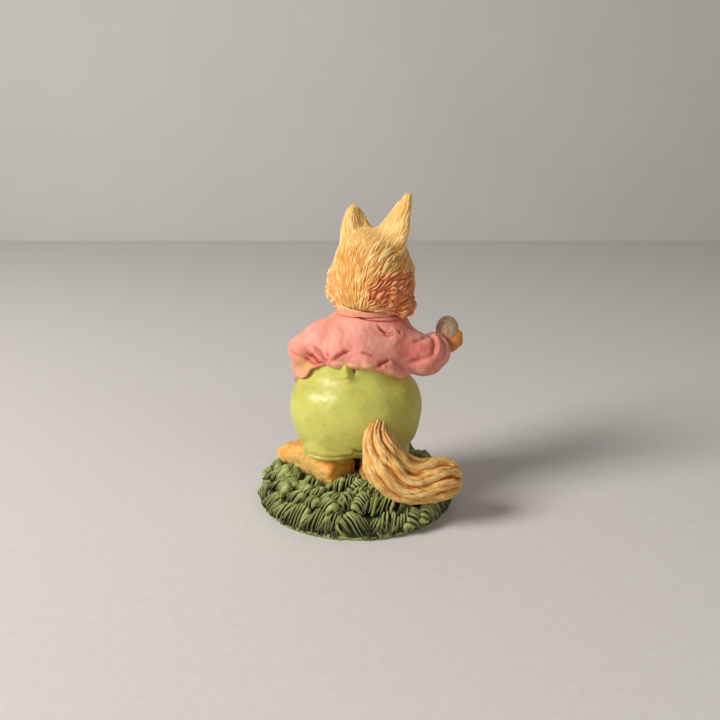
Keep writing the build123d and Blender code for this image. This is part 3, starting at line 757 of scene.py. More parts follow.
BOOT_GRASS = (((16.2, 2.2), 4.2, 4.4), ((13.2, 6.8), 4.0, 4.6), ((10.8, 9.8), 3.8, 4.2),
              ((18.6, -2.0), 3.8, 4.2), ((8.6, 11.6), 3.4, 3.4))      # place, width, height
GRASS_WAVER, GRASS_WAVER_SIZE, GRASS_WAVER_SEEDS = 0.12, 1.8, (71, 72, 73)
GRASS_WAVER_LEVELS = (0.3, 1.5)                     # none at the first level, all of it from the second
LEAN_SEED, TUFT_SEED = 11, 12


def ground_height(radius):
    levels = [BAND_HEIGHT + share * (MOUND_TOP - BAND_HEIGHT) for share, _ in MOUND_SHARES]
    radii = [share * BASE_RADIUS for _, share in MOUND_SHARES]
    return np.interp(radius, [0.0] + radii[::-1], [MOUND_TOP] + levels[::-1])


def build_mound():
    """The round ground with its plain rim: points, quads, and how dark each point is painted, the soil
    near-black as painted shade.
    """
    around = MOUND_STEPS
    inner = np.linspace(MOUND_INNER, MOUND_CENTRE, MOUND_RINGS)
    rings = list(RIM_RINGS) + [(radius, float(ground_height(radius)) - SOIL_DEPTH) for radius in inner]
    turns = np.arange(around) * 2 * math.pi / around
    points = np.concatenate([np.stack([radius * np.cos(turns), radius * np.sin(turns),
                                       np.full(around, level)], axis=1) for radius, level in rings])
    top = len(RIM_RINGS) * around
    lift = lumps(points, *SOIL_LUMPS)
    points[top:, 2] += lift[top:]
    rim = slice(RIM_WALL_FROM * around, top)
    swell = lumps(points[rim], *RIM_LUMPS)
    points[rim, :2] *= (1 + swell / BASE_RADIUS)[:, None]
    dark = np.full(len(points), SOIL_PAINTED_SHADE)
    dark[:top] = RIM_DARK
    quads = [(ring * around + step, ring * around + (step + 1) % around,
              (ring + 1) * around + (step + 1) % around, (ring + 1) * around + step)
             for ring in range(len(rings) - 1) for step in range(around)]
    centres = len(points)
    points = np.concatenate([points, [(0, 0, 0), (0, 0, MOUND_TOP - SOIL_DEPTH)]])
    dark = np.append(dark, CENTRES_DARK)
    for first, centre, way in ((0, centres, 1), (centres - around, centres + 1, -1)):
        for step in range(0, around, 2):
            quads.append((first + step, first + (step + 1) % around,
                          first + (step + 2) % around, centre)[::-way])
    return points, np.array(quads), dark


def sheet_faces(rows, columns, first):
    """Quads of a sheet of points, and the sheet's point numbers."""
    grid = np.arange(rows * columns).reshape(rows, columns) + first
    quads = np.stack([grid[:-1, :-1], grid[:-1, 1:], grid[1:, 1:], grid[1:, :-1]], axis=2)
    return quads.reshape(-1, 4), grid


def blade_line(across, v, width, height, apex, drop):
    """A place on a tuft: across it from -1 to 1, and from behind its crest, over it, down to a tip.

    Each blade is a curve with four handles, given as how far aside, out and up they are.
    """
    crest = height * (1.12 - 0.40 * (across - 0.3) ** 2)
    sides = (apex * 0.75 + across * width * 0.26, apex * 0.90 + across * width * 0.42,
             apex * 0.45 + across * width * 0.52, across * width * 0.52 - 0.20 * apex)
    outs = (1.1, 0.5, -2.0, -1.35)
    levels = (0.35 * crest, 1.28 * crest, 1.04 * crest, -drop * height)
    weights = ((1 - v) ** 3, 3 * (1 - v) ** 2 * v, 3 * (1 - v) * v ** 2, v ** 3)
    x, z = (sum(weight * row for weight, row in zip(weights, rows)) for rows in (sides, levels))
    y = sum(weight * out for weight, out in zip(weights, outs))
    y = y * (0.72 + 0.28 * (1 - across ** 2)) * width / 5.0
    return np.stack(np.broadcast_arrays(x, y, z), axis=-1)


def bars(line, thin, deep):
    """Closed six-sided bars along lines: points, quads, and how much each point faces sideways."""
    sides = 6
    count, steps = line.shape[:2]
    way = np.gradient(line, axis=1)
    way /= np.linalg.norm(way, axis=2)[..., None]
    flank = np.array((1.0, 0.0, 0.0)) - way * way[..., :1]
    flank /= np.linalg.norm(flank, axis=2)[..., None]
    face = np.cross(way, flank)
    angles = np.arange(sides) * 2 * math.pi / sides
    ring = (flank[:, :, None, :] * np.cos(angles)[None, None, :, None] * thin[..., None, None]
            + face[:, :, None, :] * np.sin(angles)[None, None, :, None] * deep[..., None, None])
    points = (line[:, :, None, :] + ring).reshape(-1, 3)
    one = np.arange(count * steps * sides).reshape(count, steps, sides)
    after = np.roll(one, -1, axis=2)
    faces = [np.stack([one[:, :-1], after[:, :-1], after[:, 1:], one[:, 1:]], axis=3).reshape(-1, 4)]
    for end, order in ((0, (3, 2, 1, 0)), (steps - 1, (0, 1, 2, 3))):
        faces.append(one[:, end, order])
        faces.append(one[:, end, (0, 5, 4, 3) if end == 0 else (0, 3, 4, 5)])
    return points, np.concatenate(faces), np.broadcast_to(np.abs(np.cos(angles)), one.shape)


BLADE_SPACING, FEWEST_BLADES, BLADE_STEPS = 0.60, 5, 9
CREST_SHIFT_SHARES, CREST_RIGHT_SHARE = (0.26, 0.60), 0.88
BLADE_STRAY, BLADE_SWAY = 0.08, 0.26
BLADE_REACH, BLADE_THIN, BLADE_DEEP = (0.88, 1.05), (0.20, 0.31), (0.42, 0.60)
# the lip blade's widening and deepening, and how much lighter it is painted as painted highlight
LIP_THIN, LIP_DEEP, LIP_PAINTED_HIGHLIGHT = 2.1, 1.5, 0.25
CORE_COLUMNS, CORE_LENGTH, CORE_WIDTH_SHARE, CORE_FRONT, CORE_BACK = 7, 0.98, 0.98, 0.5, 2.2


def tuft_core(width, height, apex, drop, first):
    """A plain closed sheet just behind the blades, so that no light falls through them."""
    steps, columns = BLADE_STEPS, CORE_COLUMNS
    wide, down = np.meshgrid(np.linspace(-1, 1, columns), np.linspace(0.0, CORE_LENGTH, steps),
                             indexing="xy")
    sheet = blade_line(wide, down, width * CORE_WIDTH_SHARE, height, apex, drop)
    inward = np.stack([0 * wide, 0.20 + 0.45 * down, -0.30 * (1 - down)], axis=2)
    points = np.concatenate([(sheet + inward * CORE_FRONT).reshape(-1, 3),
                             (sheet + inward * CORE_BACK).reshape(-1, 3)])
    front_faces, front = sheet_faces(steps, columns, first)
    back_faces = sheet_faces(steps, columns, first + steps * columns)[0]
    edge = np.concatenate([front[0, :], front[1:, -1], front[-1, -2::-1], front[-2:0:-1, 0]])
    other = edge + steps * columns
    sides = np.stack([np.roll(edge, -1), edge, other, np.roll(other, -1)], axis=1)
    # painted shade: the front of the sheet darker lower down and its back dark, so the gaps between the
    # blades read as shade
    dark = np.concatenate([(0.55 + 0.40 * smooth_step(down, 0.25, 0.6)).ravel(),
                           np.full(steps * columns, 0.9)])
    return points, [front_faces, back_faces[:, ::-1], sides], dark


def tuft(width, height, draw, drop):
    """A fan of blades that spread from a crest to one side, standing on XY and facing -Y.

    Gives points, quads, and how dark each point is painted: painted shade on the blades' flanks, towards
    their hanging tips and on the tuft's lee side, painted highlight over the crest and on the lip.
    """
    blades = max(FEWEST_BLADES, int(round(width / BLADE_SPACING + draw.uniform(-0.6, 0.9))))
    apex = draw.uniform(*CREST_SHIFT_SHARES) * width * (1 if draw.random() < CREST_RIGHT_SHARE else -1)
    across = np.linspace(-1, 1, blades) + draw.normal(scale=BLADE_STRAY, size=blades)
    reach = draw.uniform(*BLADE_REACH, blades)
    v = np.linspace(0.0, 1.0, BLADE_STEPS)[None, :] * reach[:, None]
    line = blade_line(across[:, None], v, width, height, apex, drop)
    line[..., 0] += BLADE_SWAY * np.sin(v * draw.uniform(3, 6) + draw.uniform(0, 2, blades)[:, None]) * v
    taper = np.sin(math.pi * (0.34 + 0.50 * np.linspace(0, 1, BLADE_STEPS))) ** 0.6
    thin = draw.uniform(*BLADE_THIN, blades)[:, None] * taper[None, :]
    deep = draw.uniform(*BLADE_DEEP, blades)[:, None] * taper[None, :]
    lip = blades - 1 if apex > 0 else 0                 # the fat smooth blade on the side of the crest
    thin[lip] *= LIP_THIN
    deep[lip] *= LIP_DEEP
    points, faces, sideways = bars(line, thin, deep)
    v = v[..., None]
    # painted shade on the flanks, towards the hanging tips and on the lee side, painted highlight over the
    # crest and on the lip; each tuft also a little lighter or darker at random
    dark = (0.40 * np.clip(sideways - 0.3, 0, 1) + 0.55 * smooth_step(v, 0.5, 1.0)
            - 0.35 * smooth_step(v, 0.15, 0.4) + 0.30)
    dark[lip] -= LIP_PAINTED_HIGHLIGHT
    lee_painted_shade = smooth_step(-across * np.sign(apex), -0.1, 0.9)[:, None, None]
    dark = np.clip(dark + 0.30 * lee_painted_shade + draw.uniform(-0.08, 0.16), 0, 1).reshape(-1)
    core_points, core_faces, core_painted_shade = tuft_core(width, height, apex, drop, len(points))
    return (np.concatenate([points, core_points]), np.concatenate([faces] + core_faces),
            np.concatenate([dark, core_painted_shade]))


def set_out(points, lean, aside, reach, level, turn):
    """Points leaned about X, turned aside, set out on a ring of the base and carried round it."""
    cos, sin = math.cos(lean), math.sin(lean)
    x, y, z = points[:, 0], points[:, 1] * cos - points[:, 2] * sin, points[:, 1] * sin + points[:, 2] * cos
    cos, sin = math.cos(aside), math.sin(aside)
    x, y = x * cos - y * sin, x * sin + y * cos - reach
    cos, sin = math.cos(turn), math.sin(turn)
    return np.stack([x * cos - y * sin, x * sin + y * cos, z + level], axis=1)


class Lawn:
    """The tufts planted so far, with one source of chance for their shapes."""

    def __init__(self):
        self.draw = np.random.default_rng(TUFT_SEED)
        self.points, self.quads, self.dark = [], [], []
        self.total = 0

    def plant(self, width, height, lean, aside, reach, level, turn, drop, by_heel=True):
        """Adds a tuft, trodden down where it stands behind the heel."""
        points, quads, dark = tuft(width, height, self.draw, drop)
        points = set_out(points, lean, aside, reach, level, turn)
        middle = points.mean(axis=0)[:2]
        if by_heel and min(np.hypot(*(middle - place)) for place in HEEL_PLACES) < HEEL_CLEARANCE:
            points[:, 2] = level + TRODDEN_SHARE * (points[:, 2] - level)
        points[:, 2] = np.maximum(points[:, 2], GRASS_FLOOR)
        far = np.hypot(points[:, 0], points[:, 1])
        over = np.maximum(far - GRASS_REACH, 0) * smooth_step(2.6 - points[:, 2], 0, 1.4)
        points[:, :2] *= (1 - over / far)[:, None]
        self.points.append(points)
        self.quads.append(quads + self.total)
        self.dark.append(dark)
        self.total += len(points)


def build_grass():
    """All the tufts: a ring that climbs the wall of the mound, rings on its top, and some by the boot."""
    chance = random.Random(LEAN_SEED)
    lawn = Lawn()
    draw = lawn.draw
    rings = [RIM_GRASS]
    reach = BASE_RADIUS - GRASS_RING_SPACING
    while reach > GRASS_RING_SPACING:
        rings.append((reach, float(ground_height(reach))) + TOP_GRASS)
        reach -= GRASS_RING_SPACING
    for ring, (reach, level, width, height) in enumerate(rings):
        count = int(2 * math.pi * reach / width)
        inner = min(ring, 1)                            # 0 on the rim, 1 on the top
        for index in range(count):
            turn = math.radians(360 * (index + ring / 2) / count)
            lean = math.radians(GRASS_LEAN + GRASS_LEAN_SPREAD * chance.uniform(-1, 1))
            aside = GRASS_ASIDE * chance.uniform(-1, 1) * inner
            lawn.plant(width * draw.uniform(0.95, 1.2), height * draw.uniform(0.90, 1.10 + 0.1 * inner), lean,
                       aside + draw.uniform(-0.15, 0.45), reach - draw.uniform(-0.3, 0.9) * inner,
                       level - FOOT_SUNK, turn + draw.uniform(-0.04, 0.04),
                       TOP_DROP if inner else RIM_DROP, inner)
            # smaller tufts in the gap to the next: on the rim one beside, and everywhere one behind
            gap_turn = turn + math.pi / count + draw.uniform(-0.05, 0.05)
            if not inner:
                lawn.plant(width * 0.75, height * 0.75, lean, draw.uniform(-0.2, 0.2), reach - 0.1,
                           level - GAP_FOOT_SUNK, gap_turn, RIM_DROP, inner)
            behind = reach - GRASS_RING_SPACING * draw.uniform(0.35, 0.62)
            lawn.plant(TOP_GRASS[0] * draw.uniform(0.7, 1.05), TOP_GRASS[1] * draw.uniform(0.75, 1.15), lean,
                       draw.uniform(-0.7, 0.8), behind, float(ground_height(behind)) - BEHIND_SUNK,
                       gap_turn, TOP_DROP, inner)
    for (x, y), width, height in BOOT_GRASS:
        far = math.hypot(x, y)
        lawn.plant(width, height, BOOT_GRASS_LEAN, draw.uniform(-0.2, 0.5), far,
                   float(ground_height(far)) - FOOT_SUNK, math.atan2(x, -y), TOP_DROP)
    return np.concatenate(lawn.points), np.concatenate(lawn.quads), np.concatenate(lawn.dark)


def build_base():
    mound_points, mound_quads, mound_painted_shade = build_mound()
    grass_points, grass_quads, grass_painted_shade = build_grass()
    base = Skin("grassy_mound", np.concatenate([mound_points, grass_points]),
                np.concatenate([mound_quads, grass_quads + len(mound_points)]))
    waver = np.stack([ripples(base.points, GRASS_WAVER_SIZE, seed) for seed in GRASS_WAVER_SEEDS], axis=1)
    base.points += GRASS_WAVER * waver * smooth_step(base.points[:, 2], *GRASS_WAVER_LEVELS)[:, None]
    base.write()
    # the groove mark of the base carries the painted shade and painted highlight of the soil and the tufts
    base.marks["groove"] = np.concatenate([mound_painted_shade, grass_painted_shade])
    base.dress(grass_paint(), "grass_paint", "grassy_base")


# Boots and trousers

# a fold is: sights along it, its width, its height, how much wash lies in it, and the wash's mark
BOOT_ROUNDING, BOOT_SWELL, BOOT_PIT_WASH = 0.3, 0.10, 0.35
BOOT_LUMPS = ((0.12, 3.0, 21), (0.05, 1.1, 22), (0.02, 0.5, 25))
HEEL_FOLDS = (
    # down the heel, and across it at the top
    (((352, 463), (352.5, 470), (352, 478)), 0.35, -0.30, 0.5),
    (((335, 463), (343, 465), (351, 463)), 0.3, -0.12, 0.35),
)
BOOT_SPRAY_SIGHTS = ((304, 456), (309, 463), (314, 470), (319, 478), (324, 485), (298, 461), (290, 459))
BOOT_SPRAY_LEVEL, BOOT_SPRAY_SHARE, BOOT_SPRAY_RADIUS = 6.6, 0.6, 1.7
TROUSER_ROUNDING = 0.5
TROUSER_LUMPS = ((0.07, 7.0, 31), (0.02, 2.0, 33))
TROUSER_FOLDS = (
    # the rolled hem of the left leg
    (((304, 451), (312, 454.5), (322, 457), (335, 457.5), (350, 456), (357, 452)), 0.24, -0.15, 0.5),
    (((304, 447), (320, 453.5), (335, 454.5), (350, 453), (358, 449)), 0.4, 0.10),
    # the pleat under the jacket
    (((345.5, 363), (346.5, 370), (348.5, 379)), 0.9, 1.0),
    (((352.5, 365), (354, 369), (354.5, 374)), 0.42, -0.55, 1.0),
    # the crease between the hem and the tail
    (((352, 450), (358, 453), (366, 453)), 0.5, -0.35, 0.6),
    # two specks of moss green
    (((322, 424), (326, 424.5)), 0.2, 0.06, 0.5, "stain"),
    (((309.5, 431), (311, 432)), 0.2, 0.06, 0.5, "stain"),
)
TROUSER_GRIME_LEVEL, TROUSER_GRIME, GRIME_WAVER = 15.5, 0.4, 1.3


def build_boot(side, paint):
    clay = Clay([side + "_boot"])
    clay.soften(BOOT_ROUNDING)
    boot = clay.skin(side + "_painted_boot")
    boot.push(lumps(boot.points, *BOOT_LUMPS, start=BOOT_SWELL))
    boot.marks["groove"] = smooth_step(ripples(boot.points, 1.3, 23), 1.2, 2.0) * BOOT_PIT_WASH
    rise = BOOT_SPRAY_LEVEL - boot.points[:, 2] + ripples(boot.points, 2.2, 24)
    boot.marks["stain"] = smooth_step(rise, 0, 3) * BOOT_SPRAY_SHARE
    if side == "left":                                  # the one whose back is seen
        for heel_fold in HEEL_FOLDS:
            boot.fold(*heel_fold)
        boot.daub("stain", BOOT_SPRAY_SIGHTS, BOOT_SPRAY_RADIUS)
        boot.push(boot.shift)
    boot.mottle("stain", 0.85, 0.25, 1.6, 26, most=0.9)
    boot.dress(paint, "boot_paint", side + "_boot")


def build_trousers():
    clay = Clay(["trousers"])
    clay.soften(TROUSER_ROUNDING)
    trousers = clay.skin("round_trousers")
    trousers.bare("groove", "stain")
    trousers.shift = lumps(trousers.points, *TROUSER_LUMPS)
    for trouser_fold in TROUSER_FOLDS:
        trousers.fold(*trouser_fold)
    rise = TROUSER_GRIME_LEVEL - trousers.points[:, 2] + GRIME_WAVER * ripples(trousers.points, 3.0, 32)
    stain = trousers.marks["stain"] + TROUSER_GRIME * smooth_step(rise, 0, 4)
    trousers.marks["stain"] = np.clip(stain, 0, 1)
    trousers.push(trousers.shift)
    trousers.dress(trouser_paint(), "trouser_paint", "trousers")


# Jacket

HEM_BAND = ((8.6, 5.1, 33.3), (7.0, 6.1, 34.1), (4.0, 7.5, 34.1), (0.0, 8.1, 34.0), (-2.5, 7.9, 33.9),
            (-4.6, 7.3, 33.5), (-7.6, 6.5, 32.4), (-9.6, 4.9, 31.4))
HEM_RADIUS, HEM_BLEND, SLEEVE_BLEND, JACKET_ROUNDING = 0.72, 1.0, 1.2, 0.45
JACKET_LUMPS = ((0.12, 5.0, 41), (0.03, 1.6, 42))
JACKET_FOLDS = (
    # the inner elbow of the left sleeve
    (((308, 354), (314, 359.5), (321, 363.5), (325, 366)), 0.55, -0.95, 1.0),
    (((304, 357), (310, 362), (316, 365), (322, 366)), 0.45, -0.55, 0.8),
    (((311, 349), (317, 355), (323, 361)), 0.5, 0.45),
    (((314, 347), (320, 352), (326, 360)), 0.35, -0.35, 0.6),
    # the small of the back, above the hem
    (((345, 348), (338, 353), (331, 359), (327, 364)), 0.85, 0.50),
    (((350, 351), (344, 353), (338, 357), (333, 361.5)), 0.40, -0.42, 0.7),
    (((328, 352), (327, 358), (326, 364)), 0.5, -0.35, 0.5),
    (((327, 367), (330, 369.5)), 0.6, 0.45, 0.7),
    (((322, 366), (326, 370), (331, 371)), 0.35, -0.35, 0.9),
    (((361, 352.5), (368, 354), (375, 357.5)), 0.42, -0.28, 0.6),
    (((358, 349.5), (366, 351), (374, 354)), 0.8, 0.18),
    (((377, 367), (382, 363.5), (388, 361), (391, 360)), 0.50, -0.55, 0.9),
    (((382, 368), (388, 365), (394, 361)), 1.2, 0.35),
    (((392, 361), (399, 364), (404, 370)), 0.7, -0.22, 0.3),
    # the right sleeve and its cuff
    (((433, 333), (437.5, 340), (439, 347), (437, 357)), 0.60, 0.50),
    (((429, 335), (433, 339), (434, 346), (433, 356)), 0.5, -0.32, 0.5),
    (((441, 336), (445, 343), (446, 352), (443, 361)), 0.5, -0.35, 0.5),
    (((411, 363), (418, 361), (426, 358), (434, 354)), 0.70, -0.38, 0.4),
    (((417, 350), (424, 346), (432, 341)), 0.9, 0.25),
    (((412, 343), (420, 340), (428, 336)), 0.5, -0.28, 0.4),
    # the rough patch below the collar
    (((380, 328), (385, 332), (392, 333)), 0.35, -0.24, 0.6),
    (((378, 325), (382, 330), (388, 335)), 0.35, -0.24, 0.6),
    (((383, 334), (389, 336.5), (395, 334)), 0.30, -0.20, 0.5),
    (((381, 332), (387, 334), (393, 330)), 0.30, 0.18),
    (((390, 327), (394, 329), (396, 333)), 0.35, 0.16),
    (((399, 331), (401, 334)), 0.30, -0.34, 0.7),
    # single ones on the back and the left sleeve, most of them broad and soft
    (((347, 331), (358, 334), (368, 332)), 1.6, 0.16),
    (((300, 334), (306, 340), (309, 348)), 1.0, 0.22),
    (((290, 351), (297, 356), (303, 357)), 0.45, -0.22, 0.3),
    (((396, 341), (404, 350), (409, 360)), 1.8, -0.25, 0.2),
    # the bare edge of the hem, and the seam under the collar
    (((334, 364), (340, 363.5), (350, 365), (360, 366.5), (370, 366.5), (377, 364.5)),
     0.5, 0.28, 1.0, "edge"),
    (((384, 369), (395, 373), (404, 376), (410, 372)), 0.5, 0.30, 0.5, "edge"),
    (((336, 311), (352, 314), (363, 318), (378, 320.5), (392, 321.5), (401, 320)), 0.45, -0.25, 1.0),
)
# painted shade: spots of darker dusky pink in the creases and over the shaded right side
PAINTED_SHADE_SIGHTS = (
    (321, 362), (326, 364), (314, 357), (339, 355), (329, 370), (381, 364), (436, 345), (428, 352),
    (448, 356), (443, 368), (425, 366), (410, 345), (404, 326), (397, 322), (300, 350), (412, 358),
    (405, 336), (404, 354), (398, 345), (417, 352), (424, 344), (434, 366))
CUFF_SIGHTS = ((305, 364), (300, 370), (309, 367))
PAINTED_SHADE_RADIUS, PAINTED_SHADE_SHARE, CUFF_RADIUS, CUFF_SHARE = 2.0, 0.5, 2.2, 0.6


def build_jacket():
    clay = Clay(["jacket", "left_sleeve", "right_sleeve"], blend=SLEEVE_BLEND)
    clay.tube(HEM_BAND, HEM_RADIUS, HEM_BLEND)
    clay.soften(JACKET_ROUNDING)
    jacket = clay.skin("pink_jacket")
    jacket.bare("groove", "edge", "stain", "painted_shade")
    jacket.shift = lumps(jacket.points, *JACKET_LUMPS)
    for jacket_fold in JACKET_FOLDS:
        jacket.fold(*jacket_fold)
    # painted shade in the creases and on the shaded right side
    jacket.daub("painted_shade", PAINTED_SHADE_SIGHTS, PAINTED_SHADE_RADIUS, PAINTED_SHADE_SHARE)
    jacket.mottle("painted_shade", 0.85, 0.3, 2.5, 45)
    jacket.daub("stain", CUFF_SIGHTS, CUFF_RADIUS, CUFF_SHARE)
    jacket.mottle("stain", 0.8, 0.3, 1.5, 43)
    jacket.push(jacket.shift)
    jacket.dress(jacket_paint(), "jacket_paint", "jacket", "left_sleeve", "right_sleeve")


# Head

FACE = np.array((-0.56, -0.83, 0.0))
SIDEWAYS = np.array((0.83, -0.56, 0.0))
HEAD_MIDDLE = np.array((-3.3, -2.5, 52.0))
PICTURE_RIGHT = np.array((-1.0, 0.0, 0.0))
PICTURE_UP = np.array((0.0, -math.sin(VIEW_PITCH), math.cos(VIEW_PITCH)))
HEAD_BLEND, HEAD_ROUNDING = 1.8, 0.3
JAW_TUFTS, JAW_RADII, JAW_BLEND = ((2.6, -6.6, 45.2), (-10.2, 1.0, 45.4)), (2.3, 2.5, 2.4), 1.4
HEAD_SWELLINGS = (                      # along the swelling, its radii, its blend
    # the bulge at the left ear's back
    (((1.9, -4.2, 59.5), (0.9, -4.5, 62.2), (0.7, -5.0, 65.0)), (1.3, 1.7, 0.9), 1.5),
    # the right ear's tip
    (((-10.5, 0.5, 66.2), (-11.0, 0.5, 68.0)), (1.2, 0.8), 0.7),
    # the point of fur behind the right eye
    (((-9.9, -2.4, 54.6), (-11.5, -3.0, 53.0), (-12.4, -3.4, 51.8)), (1.5, 1.15, 0.65), 1.0),
)
RUFF_SINK = {"left_cheek_ruff": 1.0, "right_cheek_ruff": 1.7}
CHEEK_RADIUS = 5.0
RUFF_OUT, RUFF_PROUD, RUFF_BLEND = 0.8, 0.1, 0.3
CHEEK_SIGHTS = (
    (379, 292), (386, 284), (394, 279), (403, 278), (410, 283), (383, 301), (411, 302), (396, 311),
    (380, 307), (377, 286), (391, 293), (400, 288), (398, 299), (408, 296), (412, 290), (390, 305),
    (403, 306), (374, 298))
CHEEK_SPOT_RADIUS, CHEEK_SPOT_SHARE = 1.9, 0.78
# how the fur lies: sights, and the slope of the strokes in degrees from level
FUR_LIES = (
    (336, 265, 95), (340, 290, 92), (345, 240, 88), (350, 300, 88), (352, 262, 84), (350, 222, 95),
    (343, 226, 88), (362, 222, 105), (365, 245, 72), (362, 275, 72), (365, 300, 66), (378, 243, 60),
    (376, 262, 56), (374, 282, 50), (388, 246, 55), (386, 262, 45), (390, 280, 33), (382, 298, 42),
    (398, 262, 36), (402, 278, 26), (400, 292, 24), (405, 304, 22), (410, 268, 40), (398, 236, 58),
    (404, 222, 66), (408, 206, 72), (408, 238, 62), (402, 248, 48),
)
# on the unseen face it sweeps back from the muzzle: heights, and how far to a side
FACE_LIES = ((50, 3.0), (50, -3.0), (55, 4.5), (55, -4.5), (46, 3.5), (46, -3.5))
RIGHT_CHEEK_FROM = -2.0
EAR_FUR_FROM, EAR_FUR_FULL = 57.0, 60.0     # heights over which the strokes get shallow
NAPE_LEVEL, NAPE_SHARE = 46.8, 0.45
# strokes are: length, width, how many, seed
HEAD_STROKES, HEAD_FINE_STROKES, HEAD_STROKES_APART = (1.75, 0.155, 2300, 52), (1.2, 0.11, 2300, 53), 0.12
HEAD_LOCK_SIZE, CHEEK_TUFT_SIZE = (4.2, 1.25), (3.3, 0.92)     # length, width
LOCK_HEIGHT, TUFT_HEIGHT, TUFT_SUNK, FUR_SWELL = 0.12, 0.75, 0.10, 0.03
STROKE_DEPTH, EAR_STROKE_LESS, FINE_STROKE_DEPTH = 0.32, 0.14, 0.10
TUFT_GROOVE_WIDTH, LOCK_GROOVE_WIDTH = 0.12, 0.2
RUFF_STROKES = (1.3, 0.13, 260)         # the seed depends on the side
RUFF_TUFT_HEIGHT, RUFF_STROKE_DEPTH, RUFF_WAVER, RUFF_SUNK = 0.82, 0.26, 0.10, 0.10


def across_head(points):
    """How far points lie to the fox's left of the middle of its head."""
    return (points - HEAD_MIDDLE) @ SIDEWAYS


def mirrored(spot):
    return spot - 2 * across_head(spot) * SIDEWAYS


def fur_guides(head):
    """Spots where the lie of the fur is known, and its way there.

    What is known of the right cheek holds mirrored for the left one.
    """
    spots, ways = [], []
    for across, down, slope in FUR_LIES:
        found = head.spots([(across, down)])
        if not len(found):
            continue
        way = PICTURE_RIGHT * math.cos(math.radians(slope)) + PICTURE_UP * math.sin(math.radians(slope))
        spots.append(found[0])
        ways.append(way)
        if across_head(found[0]) < RIGHT_CHEEK_FROM:
            spots.append(mirrored(found[0]))
            ways.append(way - 2 * (way @ SIDEWAYS) * SIDEWAYS)
    for height, spread in FACE_LIES:
        spots.append(HEAD_MIDDLE * (1, 1, 0) + FACE * 8 + SIDEWAYS * spread + np.array((0, 0, height)))
        ways.append(FACE * 0.7 + np.array((0, 0, 0.55)) - SIDEWAYS * spread * 0.1)
    return spots, ways


def fur_flow(skin, guides):
    """Which way the fur lies at each point, the nearest guides counting most."""
    total = np.zeros((len(skin.points), 3))
    for spot, way in zip(*guides):
        gap = skin.points - spot
        weight = 1 / (np.sum(gap * gap, axis=1) + 1.5) ** 2
        total += weight[:, None] * way
    return total


def cheek_share(head):
    """How far the head's points lie in the rust fur of the cheeks, from 0 to 1."""
    bare = np.ones(len(head.points))
    for seen in head.spots(CHEEK_SIGHTS):
        for spot in (seen, mirrored(seen)):
            gap = np.sum((head.points - spot) ** 2, axis=1)
            bare *= 1 - CHEEK_SPOT_SHARE * np.exp(-gap / CHEEK_SPOT_RADIUS ** 2)
    return smooth_step(1 - bare + 0.12 * ripples(head.points, 1.8, 54), 0.25, 0.75)


def cheek_tufts(skin, flow, seed):
    """Overlapping tapered tufts: how far they stand out, and their grooves."""
    inside, along, lot = locks(skin, flow, *CHEEK_TUFT_SIZE, seed, warp=0.30)
    lump = (1 - np.exp(-inside * 2.0)) * (0.75 + 0.45 * along) * (0.55 + 0.9 * lot)
    return lump, np.exp(-(inside / TUFT_GROOVE_WIDTH) ** 2)


def head_clay():
    """Skull, ears, muzzle and cheeks in one, with the swellings that the solids leave out."""
    clay = Clay(["head", "left_ear", "right_ear", "muzzle", "left_cheek_ruff", "right_cheek_ruff"],
                blend=HEAD_BLEND, sunk=RUFF_SINK)
    for jaw in JAW_TUFTS:
        clay.ball(jaw, JAW_RADII, JAW_BLEND)
    for swelling in HEAD_SWELLINGS:
        clay.tube(*swelling)
    clay.soften(HEAD_ROUNDING)
    return clay


def build_head(clay, paint):
    """Carves the head's fur; gives the guides that it follows."""
    head = clay.skin("fox_head")
    guides = fur_guides(head)
    flow = fur_flow(head, guides)
    cheek = cheek_share(head)
    inside, _, lot = locks(head, flow, *HEAD_LOCK_SIZE, 51, warp=0.35)
    tuft_lump, tuft_groove = cheek_tufts(head, flow, 56)
    cuts = strokes(head, flow, *HEAD_STROKES, apart=HEAD_STROKES_APART)
    fine = strokes(head, flow, *HEAD_FINE_STROKES, apart=HEAD_STROKES_APART)
    on_ear = smooth_step(head.points[:, 2], EAR_FUR_FROM, EAR_FUR_FULL)
    lump = 1 - np.exp(-inside * 1.8)
    head.push(LOCK_HEIGHT * lump * (1 + 0.5 * (lot - 0.5)) * (1 - cheek)
              + (TUFT_HEIGHT * tuft_lump - TUFT_SUNK) * cheek
              - (STROKE_DEPTH - EAR_STROKE_LESS * on_ear) * cuts - FINE_STROKE_DEPTH * fine + FUR_SWELL)
    on_ear = smooth_step(head.points[:, 2], EAR_FUR_FROM, EAR_FUR_FULL)
    between_locks = np.exp(-(inside / LOCK_GROOVE_WIDTH) ** 2)
    groove = cuts * 1.05 + 0.35 * fine + 0.10 * between_locks * (1 - cheek) - 0.06
    groove = groove * (1 - 0.45 * cheek) + 0.80 * tuft_groove * cheek
    groove *= 1 - 0.45 * on_ear
    yellow_back = smooth_step(across_head(head.points), 2.0, 4.0)
    yellow_back = yellow_back * smooth_step(head.normals[:, 1], 0.1, 0.5)
    head.marks = {
        "groove": np.clip(groove, 0, 1),
        # lighter by lock at random and on the ridges between cuts, which is painted highlight; on the cheeks
        # the tops of the tufts are painted highlight
        "strand": (np.clip(lot * 0.7 + 0.3 - 0.6 * cuts, 0, 1) * (1 - cheek)
                   + cheek * np.clip(tuft_lump * 0.9, 0, 1)),
        "rust": cheek * 0.95 * (1 - 0.8 * yellow_back),
        "cream": smooth_step(NAPE_LEVEL - head.points[:, 2], -1.0, 1.2) * NAPE_SHARE,
    }
    head.dress(paint, "fur_paint", "head", "left_ear", "right_ear", "muzzle")
    return guides


